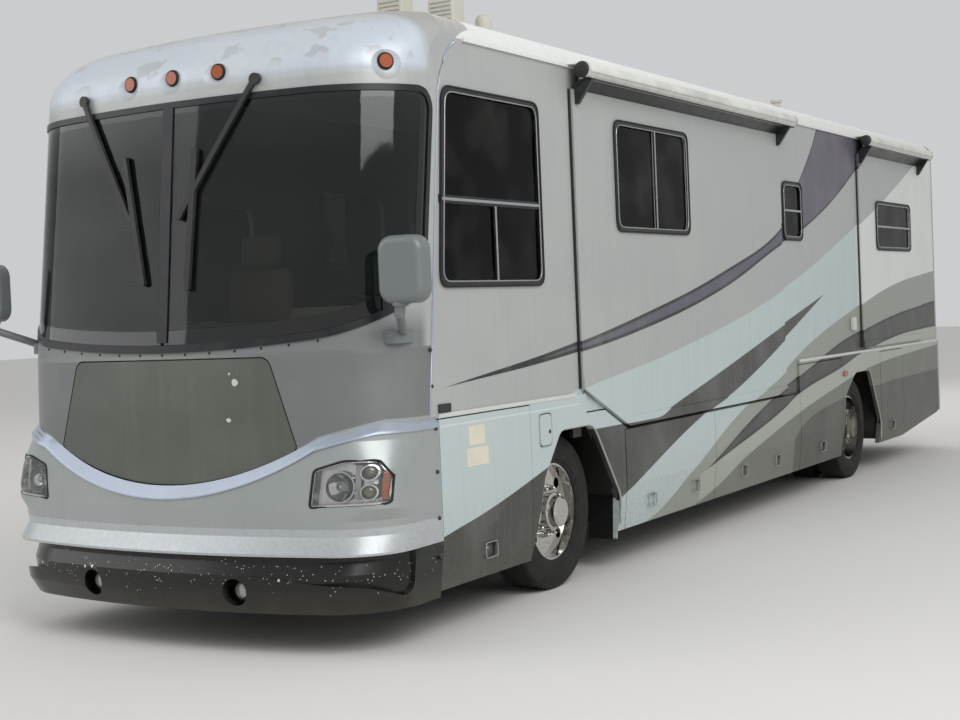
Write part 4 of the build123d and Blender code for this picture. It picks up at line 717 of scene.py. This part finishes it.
def skinAt(skin, x, z, proud=0.0):
    # station of the skin: on the wide arc up to where the corner touches it, then on the corner
    wide, centreX, centreY, cornerY, corner, half = section(skin, z, proud)
    across = np.minimum(np.abs(x), half)
    onArc = centreY - np.sqrt(wide ** 2 - across ** 2)
    onCorner = cornerY - np.sqrt(np.maximum(corner ** 2 - (across - centreX) ** 2, 0))
    return np.where(across < centreX * wide / (wide - corner), onArc, onCorner)


def alongSkin(skin, share, z, proud=0.0):
    # share runs -1 to 1 round the front: the arc, the corner, then the flat side back to the seam
    wide, centreX, centreY, cornerY, corner, half = section(skin, z, proud)
    part = np.abs(share)
    touch = np.arcsin(centreX / (wide - corner))
    first = touch * np.clip(part / arcShare, 0, 1)
    second = touch + (np.pi / 2 - touch) * np.clip((part - arcShare) / (cornerShare - arcShare), 0, 1)
    x = np.where(part <= arcShare, wide * np.sin(first), centreX + corner * np.sin(second))
    y = np.where(part <= arcShare, centreY - wide * np.cos(first), cornerY - corner * np.cos(second))
    flat = cornerY + (seamStation - cornerY) * np.clip((part - cornerShare) / (1 - cornerShare), 0, 1)
    return np.sign(share) * x, np.where(part > cornerShare, flat, y)


def smileHeight(x):
    # the smile line over x, as the mask's paint has it
    side, radius = np.abs(x), smileLine["radius"]
    arc = smileLine["dip"] + radius - np.sqrt(np.maximum(radius ** 2 - side ** 2, 0.1))
    straight = smileLine["start"] + smileLine["slope"] * side
    return np.minimum(np.minimum(arc, straight), smileLine["level"])


# lip moulding along the smile: set back at its top edge, it leans forward to its foot

smile = {"top": 0.001, "tall": 0.066, "back": 0.037, "lean": 0.039 / 0.058, "foot": 0.002, "proud": 0.0045}


def smileMoulding():
    share = np.linspace(-1, 1, 181)[None, :]
    drop = np.linspace(-smile["top"], smile["tall"], 9)[:, None]
    proud = np.minimum(-smile["back"] + smile["lean"] * drop, smile["foot"]) + smile["proud"]
    line = smileHeight(alongSkin("fascia", share, 1.0)[0])
    # the line's height and the skin's x depend on each other
    for again in range(2):
        z = line - drop
        x, y = alongSkin("fascia", share, z, proud)
        line = smileHeight(x)
    addGrid("smile_moulding", "coach", spread(x, y, line - drop), brightTrim, flip=True)


# headlamp: outline as (x, z), reflector and projectors as (x, z, radius), and two ribbed plates as
# (x from, x to, z from, z to), columns and rows, and depth

headlamp = {
    "outline": ((0.898, 0.75), (1.279, 0.765), (1.279, 0.9), (1.225, 0.978), (1.075, 0.98), (0.921, 0.936)),
    "corner": 0.022, "seal": 0.0055, "reflector": (1.034, 0.849, 0.069), "bowl": (0.058, 0.034),
    "shield": (0.052, 0.026, 0.022), "projectors": ((1.186, 0.917, 0.034), (1.188, 0.822, 0.034)),
    "flutes": ((1.122, 1.15, 0.785, 0.955), (33, 5), 0.03),
    "amber": ((1.244, 1.266, 0.785, 0.92), (6, 25), 0.012),
}


def headlamps():
    outline = rounded(headlamp["outline"], headlamp["corner"])
    middle = outline.mean(0)
    turn = np.linspace(0, fullTurn, 36, endpoint=False)[None, :]
    x0, z0, radius = headlamp["reflector"]
    front = skinAt("fascia", x0, z0)
    for side, word in bothSides:
        x, z = outline.T
        rim = spread(side * x, skinAt("fascia", x, z), z)
        addTube(f"lamp_seal_{word}", "coach", rim, headlamp["seal"], rubber, 8, True)
        # clear cover: rings from the outline in to its middle, bowed out 4 mm
        share = np.linspace(1, 0.02, 9)[:, None]
        x, z = (middle[i] + (outline[:, i] - middle[i]) * share * 0.985 for i in (0, 1))
        y = skinAt("fascia", x, z, 0.001 - 0.005 * share ** 2)
        addGrid(f"lamp_lens_{word}", "coach", spread(side * x, y, z), lensClear, True, side < 0)
        # reflector bowl: a parabola 34 mm deep with a bulb shield at its middle
        lift = np.linspace(1, 0.0, 10)[:, None]
        deep, curve = headlamp["bowl"]
        x, z = x0 + radius * lift * np.cos(turn), z0 + radius * lift * np.sin(turn)
        bowl = spread(side * x, front + deep - curve * lift ** 2, z)
        addGrid(f"lamp_bowl_{word}", "coach", bowl, lampBowl, True, side > 0)
        deep, *size = headlamp["shield"]
        shield = [((side * x0, station(front + deep), z0), (0.25 * side, -1, 0), *size)]
        addDomes(f"lamp_bulb_{word}", "coach", shield, steelBright)
        lenses = [
            ((side * x1, station(skinAt("fascia", x1, z1) + 0.03), z1), (0.7 * side, -1, 0), r, 0.018)
            for x1, z1, r in headlamp["projectors"]
        ]
        addDomes(f"lamp_projectors_{word}", "coach", lenses, projectorGlass, 7, 24)
        # upright flutes, a cosine 7 mm long and 3 mm deep, and the amber's level ribs, 9 mm and 2 mm
        for plate, material in (("flutes", lampBowl), ("amber", amberLens)):
            (start, end, low, high), (columns, rows), deep = headlamp[plate]
            x, z = np.linspace(start, end, columns)[None, :], np.linspace(low, high, rows)[:, None]
            if plate == "flutes":
                wave = 0.0015 * np.cos(fullTurn * (x - start) / 0.007)
            else:
                wave = 0.001 * np.cos(fullTurn * z / 0.009)
            ribbed = spread(side * x, skinAt("fascia", x, z) + deep - wave, z)
            addGrid(f"lamp_{plate}_{word}", "coach", ribbed, material, flip=side < 0)


# fog lamps at the back of the bumper's cups

fogLamp = {"place": (0.485, 0.325), "back": -2.105, "radius": 0.046, "height": 0.012}


def fogLamps():
    x, z = fogLamp["place"]
    for side, word in bothSides:
        rows = [((side * x, station(fogLamp["back"]), z), (0, -1, 0), fogLamp["radius"], fogLamp["height"])]
        addDomes(f"fog_lens_{word}", "coach", rows, fogGlass, 6, 28)


# round heads along a line under the windscreen rubber, and turn-studs up the cap seam

rivet = {
    "half": 0.93, "count": 13, "start": 1.53, "foot": 2.502, "rise": 0.46, "drop": 0.022,
    "size": (0.007, 0.004),
}
stud = {"z": (1.5, 1.313, 1.095, 0.873, 0.635, 0.427), "station": -1.49, "size": (0.011, 0.013)}


def rivetsAndStuds():
    x = np.linspace(-rivet["half"], rivet["half"], rivet["count"])
    z = np.full(rivet["count"], rivet["start"])
    # the rubber rises backwards with the skin, so its height and the skin's station are found in steps
    for again in range(4):
        z = rivet["foot"] + rivet["rise"] * skinAt("mask", x, z) - rivet["drop"]
    heads = [(place, (0.1 * place[0], -1, 0), *rivet["size"]) for place in spread(x, skinAt("mask", x, z), z)]
    addDomes("screen_rivets", "coach", heads, rubber)
    studs = [
        ((side * (1.282 if z > 1.17 else 1.295), station(stud["station"]), z), (side, 0, 0), *stud["size"])
        for z in stud["z"] for side in (1, -1)
    ]
    addDomes("seam_studs", "coach", studs, mouldedBlack)


# plain blocks: body, finish, bevel, and each block as (x, station, z) and size

plainBlocks = {
    "door_labels": ("left_door_a", agedPaper, 0.0,
        ((1.2955, -1.08, 1.026), (0.0015, 0.165, 0.104)), ((1.2955, -1.077, 0.911), (0.0015, 0.225, 0.098))),
    "porch_light": ("coach", whiteVinylAndBeltHighlight, 0.01, ((1.301, 5.7, 1.42), (0.042, 0.075, 0.12))),
    "seam_marker": ("coach", mouldedBlack, 0.004, ((1.285, -1.375, 1.193), (0.01, 0.12, 0.045))),
    # the defrost slots are near-black blocks of painted shade where the slots open
    "defrost_slots": ("coach", slotShade, 0.002,
        ((-0.45, -1.505, 1.684), (0.42, 0.03, 0.006)), ((0.12, -1.505, 1.684), (0.42, 0.03, 0.006))),
    "mirror_plate_left": ("coach", mirrorGlass, 0.03, ((1.432, -1.893, 1.905), (0.215, 0.004, 0.285))),
    "mirror_plate_right": ("coach", mirrorGlass, 0.03, ((-1.432, -1.893, 1.905), (0.215, 0.004, 0.285))),
}


def addPlain(*names):
    for name in names:
        body, material, bevel, *rows = plainBlocks[name]
        addBoxes(name, body, [((x, station(s), z), size) for (x, s, z), size in rows], material, bevel)


# belt mouldings by side as spans of stations, seals as (front, rear, head)

belt = {"x": 1.289, "z": 1.155, "size": (0.02, 0.023), 1: ((-1.44, 0.1), (4.2, 8.69)), -1: ((-0.48, 8.69),)}
roomSeals = {"x": 1.2865, "foot": 1.19, "front_slide": (0.19, 3.83, 3.0), "rear_slide": (5.99, 8.1, 2.99)}
fuelLock = ((1.298, station(-0.255), 0.97), (1, 0, 0), 0.012, 0.006)


def sideTrim():
    # belt mouldings painted white as the highlight along the ledge, the seal round each room, blank labels, the
    # side light and the fuel flap's lock
    thick, tall = belt["size"]
    belts = [
        ((side * belt["x"], station((start + end) / 2), belt["z"]), (thick, end - start, tall))
        for side in (1, -1) for start, end in belt[side]
    ]
    # the white of the belt mouldings is a painted highlight along the ledge
    addBoxes("belt_mouldings", "coach", belts, whiteVinylAndBeltHighlight, 0.005)
    for name in ("front_slide", "rear_slide"):
        front, rear, head = roomSeals[name]
        foot = roomSeals["foot"]
        seals = [
            ((roomSeals["x"], station(s), (foot + head) / 2), (0.012, wide, head - foot))
            for s, wide in ((front - 0.009, 0.017), (rear + 0.007, 0.012))
        ]
        addBoxes(name + "_seal", name, seals, rubber, 0.002)
    addPlain("door_labels", "porch_light", "seam_marker")
    addDomes("fuel_lock", "fuel_door", [fuelLock], rubber)


# bead up the seam between the cap and the walls, as (station, height)

seam = {"x": 1.281, "ahead": 0.004, "radius": 0.0065, "path": (
    (-1.511, 1.165), (-1.46, 1.56), (-1.37, 2.29), (-1.303, 2.834), (-1.28, 2.93), (-1.235, 3.01),
    (-1.18, 3.078), (-1.11, 3.12))}


def seamBead():
    for side, word in bothSides:
        path = [(side * seam["x"], station(s - seam["ahead"]), z) for s, z in seam["path"]]
        addTube(f"cap_seam_{word}", "coach", path, seam["radius"], brightTrim, 8)


# windows: side, body, frame as (front, rear, foot, head), bars as (level, place, start, end); the
# driver's front edge leans back to leanTop

window = {"inset": 0.032, "corner": 0.07, "lip": 0.0045, "seal": 0.006, "sealOut": 0.027, "leanTop": -1.284}
faces = {"coach": 1.29, "entry_door": 1.29, "front_slide": 1.315, "rear_slide": 1.315}
windows = (
    ("driver", 1, "coach", (-1.375, -0.227, 1.817, 2.878),
        ((True, 2.28, -1.33, -0.259), (False, -0.77, 1.849, 2.259))),
    ("galley", 1, "coach", (3.92, 4.4, 2.155, 2.64), ((True, 2.4, 3.95, 4.37),)),
    ("front_room", 1, "front_slide", (0.73, 1.92, 2.15, 2.865), ((False, 1.355, 2.18, 2.835),)),
    ("rear_room", 1, "rear_slide", (6.48, 7.7, 2.1, 2.575), ((True, 2.33, 6.51, 7.67),)),
    ("right_a", -1, "coach", (-0.31, 0.28, 2.05, 2.48), ((False, -0.015, 2.08, 2.45),)),
    ("right_b", -1, "coach", (1.0, 1.9, 2.05, 2.62), ((False, 1.45, 2.08, 2.59),)),
    ("right_c", -1, "coach", (2.7, 3.9, 2.05, 2.72), ((False, 3.3, 2.08, 2.69),)),
    ("right_d", -1, "coach", (4.7, 5.15, 2.155, 2.64), ((True, 2.4, 4.73, 5.12),)),
    ("right_e", -1, "coach", (6.48, 7.7, 2.1, 2.575), ((False, 7.09, 2.13, 2.545),)),
    ("entry", -1, "entry_door", (-1.175, -0.665, 1.885, 2.725), ()),
)


def windowTrim():
    # a bright lip round each pane, its rubber outside that, and a cap on each bar
    for name, side, body, (front, rear, foot, head), bars in windows:
        face = faces[body]
        lean = window["leanTop"] if name == "driver" else front
        corners = np.array([(front, foot), (lean, head), (rear, head), (rear, foot)])
        middle = corners.mean(0)
        inner = corners - np.sign(corners - middle) * window["inset"]
        for word, proud, outset, radius, material in (
            ("lip", 0.0005, 0.0, window["lip"], silverTrim),
            ("seal", 0.0, window["sealOut"], window["seal"], rubber),
        ):
            loop = rounded(inner + np.sign(inner - middle) * outset, window["corner"])
            points = spread(side * (face + proud), loop[:, 0], loop[:, 1])
            addTube(f"{name}_{word}", body, points, radius, material, 8, True)
        caps = []
        for level, place, start, end in bars:
            half, run = (start + end) / 2, end - start
            s, z = (half, place) if level else (place, half)
            size = (0.006, run, 0.016) if level else (0.006, 0.016, run)
            caps.append(((side * (face + 0.001), station(s), z), size))
        if caps:
            addBoxes(name + "_bars", body, caps, silverTrim, 0.002)


# awning toppers: sheet from the gutter rail over the roller, and the roller's end caps

topper = {"rail": (1.287, 3.146), "roller": (1.4, 3.1, 0.048), "thick": 0.0012, "sag": 0.004}
rooms = (("front_slide", 0.16, 3.88), ("rear_slide", 5.96, 8.15))


def toppers():
    # taut from the rail over the roller's crown, sagging by a sine with a slow wave along the coach
    railX, railZ = topper["rail"]
    rollerX, rollerZ, radius = topper["roller"]
    run = np.linspace(0, 1, 12)
    turn = np.linspace(0.1, 1.9, 10)
    crown = radius + 0.0025
    wrapX, wrapZ = rollerX + crown * np.sin(turn), rollerZ + crown * np.cos(turn)
    x = np.concatenate([railX + (wrapX[0] - railX) * run, wrapX[1:]])
    z = np.concatenate([railZ + (wrapZ[0] - railZ) * run, wrapZ[1:]])
    for body, front, rear in rooms:
        y = np.linspace(front, rear, 40)[:, None]
        hang = topper["sag"] * np.sin(np.pi * np.clip((x - railX) / 0.11, 0, 1)) * (1 + 0.4 * np.sin(9 * y))
        points = spread(x, y, z - hang)
        cloth = addGrid(body + "_topper_cloth", None, points, awningVinyl, thick=topper["thick"])
        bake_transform(cloth)
        caps = [
            ((rollerX, station(end), rollerZ), (0, away, 0), 0.05, 0.012)
            for end, away in ((front - 0.02, -1), (rear + 0.02, 1))
        ]
        addDomes(body + "_roller_caps", body, caps, mouldedBlack, 4, 20)


# wheels: body, side, outer face of the disc, axle

wheelNuts = {"ring": 0.143, "size": (0.0175, 0.052), "count": 10}
wheelRows = (
    ("front_left_wheel", 1, 1.107, 0.0), ("front_right_wheel", -1, 1.107, 0.0),
    ("rear_left_wheels", 1, 1.032, wheelbase), ("rear_right_wheels", -1, 1.032, wheelbase),
)


def nutCovers():
    # chromed bullet covers pushed over the wheel nuts
    turns = np.arange(wheelNuts["count"]) * fullTurn / wheelNuts["count"]
    along, over = wheelNuts["ring"] * np.cos(turns), axleHeight + wheelNuts["ring"] * np.sin(turns)
    for body, side, face, axle in wheelRows:
        rows = [(place, (side, 0, 0), *wheelNuts["size"]) for place in spread(side * face, axle + along, over)]
        addDomes(body + "_nut_covers", body, rows, chrome, 9, 16)


# lip round each wheel opening: corners as (station, height, how far the bend reaches)

arches = {"x": 1.288, "radius": 0.0075, "rows": (
    ("front", 0.0, ((-0.416, 0.45, 0), (-0.33, 0.707, 0.05), (-0.11, 0.966, 0.05), (0.33, 0.966, 0.09),
        (0.684, 0.48, 0.06), (0.668, 0.3, 0))),
    ("rear", wheelbase, ((-0.41, 0.62, 0), (-0.375, 0.787, 0.07), (-0.06, 0.978, 0.07), (0.4, 0.978, 0.07),
        (0.73, 0.469, 0.06), (0.715, 0.3, 0))),
)}


def archLips():
    # rolled edge of the skirt round the wheel opening
    for name, axle, rows in arches["rows"]:
        corners, reach = np.array(rows)[:, :2], np.array(rows)[:, 2]
        bends = [bend(*corners[i - 1:i + 2], reach[i], 6) for i in range(1, len(rows) - 1)]
        s, z = np.concatenate([corners[:1], *bends, corners[-1:]]).T
        for side, word in bothSides:
            path = spread(side * arches["x"], axle + s, z)
            addTube(f"{name}_arch_lip_{word}", "coach", path, arches["radius"], archTrim, 8)


# door latches: the stations of each door's recesses, all at one height; key and flap as x, up, size

latch = {
    "z": 0.392, "half": (0.062, 0.042), "corner": 0.018, "face": 1.2945, "bezel": 0.0035,
    "key": (1.2685, 0.008, 0.009, 0.004), "flap": (-0.382, -0.224, 0.885, 1.082, 0.04, 1.294),
}
latches = {"a": (-0.9675,), "b": (1.155, 1.905), "c": (2.855, 3.605), "d": (4.745,), "e": (6.925,)}


def frameLoop(front, rear, foot, head, corner):
    return rounded([(front, foot), (front, head), (rear, head), (rear, foot)], corner).T


def latchTrim():
    # bright bezel round each paddle latch, and its key cylinder
    w, h = latch["half"]
    s, z = frameLoop(-w, w, -h, h, latch["corner"])
    keyX, keyUp, *keySize = latch["key"]
    for side, body, stations in (
        (side, f"{word}_door_{door}", row) for side, word in bothSides for door, row in latches.items()
        if side > 0 or door in "bcd"
    ):
        for i, middle in enumerate(stations):
            path = spread(side * latch["face"], middle + s, latch["z"] + z)
            addTube(f"{body}_bezel_{i}", body, path, latch["bezel"], silverTrim, 6, True)
        keys = [((side * keyX, station(s0), latch["z"] + keyUp), (side, 0, 0), *keySize) for s0 in stations]
        addDomes(body + "_keys", body, keys, steelBright, 4, 12)
    *flap, face = latch["flap"]
    s, z = frameLoop(*flap)
    addTube("fuel_flap_rim", "coach", spread(face, s, z), latch["bezel"], archTrim, 6, True)


def dashAndMirrors():
    # defrost slots along the top of the dash as near-black blocks of painted shade, silvered plates in the back
    # of both mirror heads
    addPlain("defrost_slots", "mirror_plate_left", "mirror_plate_right")


# rubber rings round the clearance lamps: x, station, height and outward direction of each

lampRing = {"radius": 0.035, "thick": 0.0095, "back": 0.016}
clearanceLamps = (
    (-1.181, -1.621, 2.972, -0.798, -0.602), (-0.305, -1.898, 2.985, -0.07, -0.9975),
    (0, -1.909, 2.985, 0, -1), (0.305, -1.898, 2.985, 0.07, -0.9975),
    (1.181, -1.621, 2.972, 0.798, -0.602),
)


def lampRings():
    turn = np.linspace(0, fullTurn, 20, endpoint=False)[:, None]
    for i, (x, s, z, nx, ny) in enumerate(clearanceLamps):
        centre = np.array([x - lampRing["back"] * nx, station(s) - lampRing["back"] * ny, z])
        around = np.cos(turn) * [-ny, nx, 0] + np.sin(turn) * [0, 0, 1.0]
        loop = centre + lampRing["radius"] * around
        addTube(f"lamp_ring_{i}", "coach", loop, lampRing["thick"], rubber, 8, True)


# curtains: name, side, face, front, rear, foot, head, pleat length and depth, body, what it hangs from

drapes = (
    ("driver_curtain", 1, 1.2, -0.56, -0.25, 1.87, 2.86, 0.05, 0.014, "coach", "left_wall"),
    ("front_room_blind", 1, 1.238, 0.77, 1.33, 2.19, 2.62, 0.06, 0.012, "front_slide", "front_slide"),
    ("aisle_curtain", -1, 1.2, 1.05, 1.3, 2.08, 2.6, 0.05, 0.014, "coach", "right_wall"),
    ("bed_curtain", -1, 1.2, 6.52, 6.9, 2.13, 2.56, 0.05, 0.014, "coach", "right_wall"),
)


def curtains():
    # gathered cloth: a sine across the pleats, nipped in by a bell curve above the foot
    for name, side, face, front, rear, foot, head, pitch, depth, body, hanger in drapes:
        share = np.linspace(0, 1, int((rear - front) / pitch * 10))[:, None]
        z = np.linspace(foot, head, 14)[None, :]
        nip = 1 - 0.35 * np.exp(-((z - foot - 0.3 * (head - foot)) / (0.2 * (head - foot))) ** 2)
        y = rear + (front - rear) * share * nip
        wave = np.sin(fullTurn * share * (rear - front) / pitch) * (1.15 - 0.3 * (z - foot))
        points = spread(side * (face - 0.006 + depth * 0.5 * wave), y, z)
        cloth = addGrid(name, body, points, curtainCloth, flip=side < 0, thick=0.001)


# seat pads: width, length, thickness, middle as (station, height), lean from upright in degrees

seat = {
    "middle": 0.64, "plan": 8, "crown": 3.4, "pull": 0.035, "sink": 0.13,
    "channel": (0.6, 0.035), "crease": (-0.35, 0.03),
}
pads = {
    "cushion": (0.515, 0.475, 0.15, (-0.778, 1.389), 92.5),
    "back": (0.495, 0.68, 0.125, (-0.448, 1.676), 5.4),
    "headrest": (0.295, 0.2, 0.11, (-0.411, 2.122), 8.0),
}
# arm rests, then side stays, pedestal and headrest post, each block as (x from the seat's middle, station,
# z) and size
seatBlocks = (
    ("arms", leather, 0.02,
        ((-0.265, -0.64, 1.58), (0.06, 0.38, 0.07)), ((0.265, -0.64, 1.58), (0.06, 0.38, 0.07))),
    ("frame", mouldedBlack, 0.008,
        ((-0.2438, -0.48, 1.5), (0.04, 0.06, 0.12)), ((0.2438, -0.48, 1.5), (0.04, 0.06, 0.12)),
        ((0.0, -0.76, 1.185), (0.3, 0.34, 0.31)), ((0.0, -0.42, 2.01), (0.12, 0.03, 0.08))),
)


def addPad(name, x, width, length, thick, middle, lean):
    # a crowned closed pad: a cube swelled to a superellipse, its sides drawn in between the corners; two
    # sewn channels and a crease between them are bell curves
    blank = bmesh.new()
    bmesh.ops.create_cube(blank, size=2)
    bmesh.ops.subdivide_edges(blank, edges=blank.edges, cuts=15, use_grid_fill=True)
    data = bpy.data.meshes.new(name)
    blank.to_mesh(data)
    blank.free()
    flat = np.zeros(3 * len(data.vertices))
    data.vertices.foreach_get("co", flat)
    u, v, w = flat.reshape(-1, 3).T
    plan = (np.abs(u) ** seat["plan"] + np.abs(v) ** seat["plan"]) ** (1 / seat["plan"])
    reach = (plan ** seat["crown"] + np.abs(w) ** seat["crown"]) ** (1 / seat["crown"])
    u, v, w = u / reach, v / reach, w / reach
    u, v = u * (1 - seat["pull"] * (1 - v ** 2)), v * (1 - seat["pull"] * (1 - u ** 2))
    (channel, channelWidth), (crease, creaseWidth) = seat["channel"], seat["crease"]
    groove = np.exp(-((np.abs(u) - channel) / channelWidth) ** 2)
    groove += np.exp(-((v - crease) / creaseWidth) ** 2) * (np.abs(u) < channel)
    w -= seat["sink"] * np.minimum(groove, 1) * np.clip(w, 0, 1)
    tilt = math.radians(lean)
    along = np.array([0, math.sin(tilt), math.cos(tilt)])
    face = np.array([0, -math.cos(tilt), math.sin(tilt)])
    centre = np.array([x, station(middle[0]), middle[1]])
    across = np.outer(u * width / 2, [1, 0, 0])
    points = centre + across + np.outer(v * length / 2, along) + np.outer(w * thick / 2, face)
    data.vertices.foreach_set("co", points.ravel())
    piece = addPiece(name, "coach", data, leather)
    return piece


def seats():
    # three pads, two arm rests and a frame a seat
    pieces = []
    for side, word in bothSides:
        x = side * seat["middle"]
        for name, row in pads.items():
            pieces.append(addPad(f"seat_{name}_{word}", x, *row))
        for name, material, bevel, *rows in seatBlocks:
            blocks = [((x + shift, station(s), z), size) for (shift, s, z), size in rows]
            pieces.append(addBoxes(f"seat_{name}_{word}", "coach", blocks, material, bevel))
    for piece in pieces:
        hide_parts("seats")


for build in (
    smileMoulding, headlamps, fogLamps, rivetsAndStuds, sideTrim, seamBead, windowTrim, toppers, nutCovers,
    archLips, latchTrim, dashAndMirrors, lampRings, curtains, seats,
):
    build()
    print("built", build.__name__)
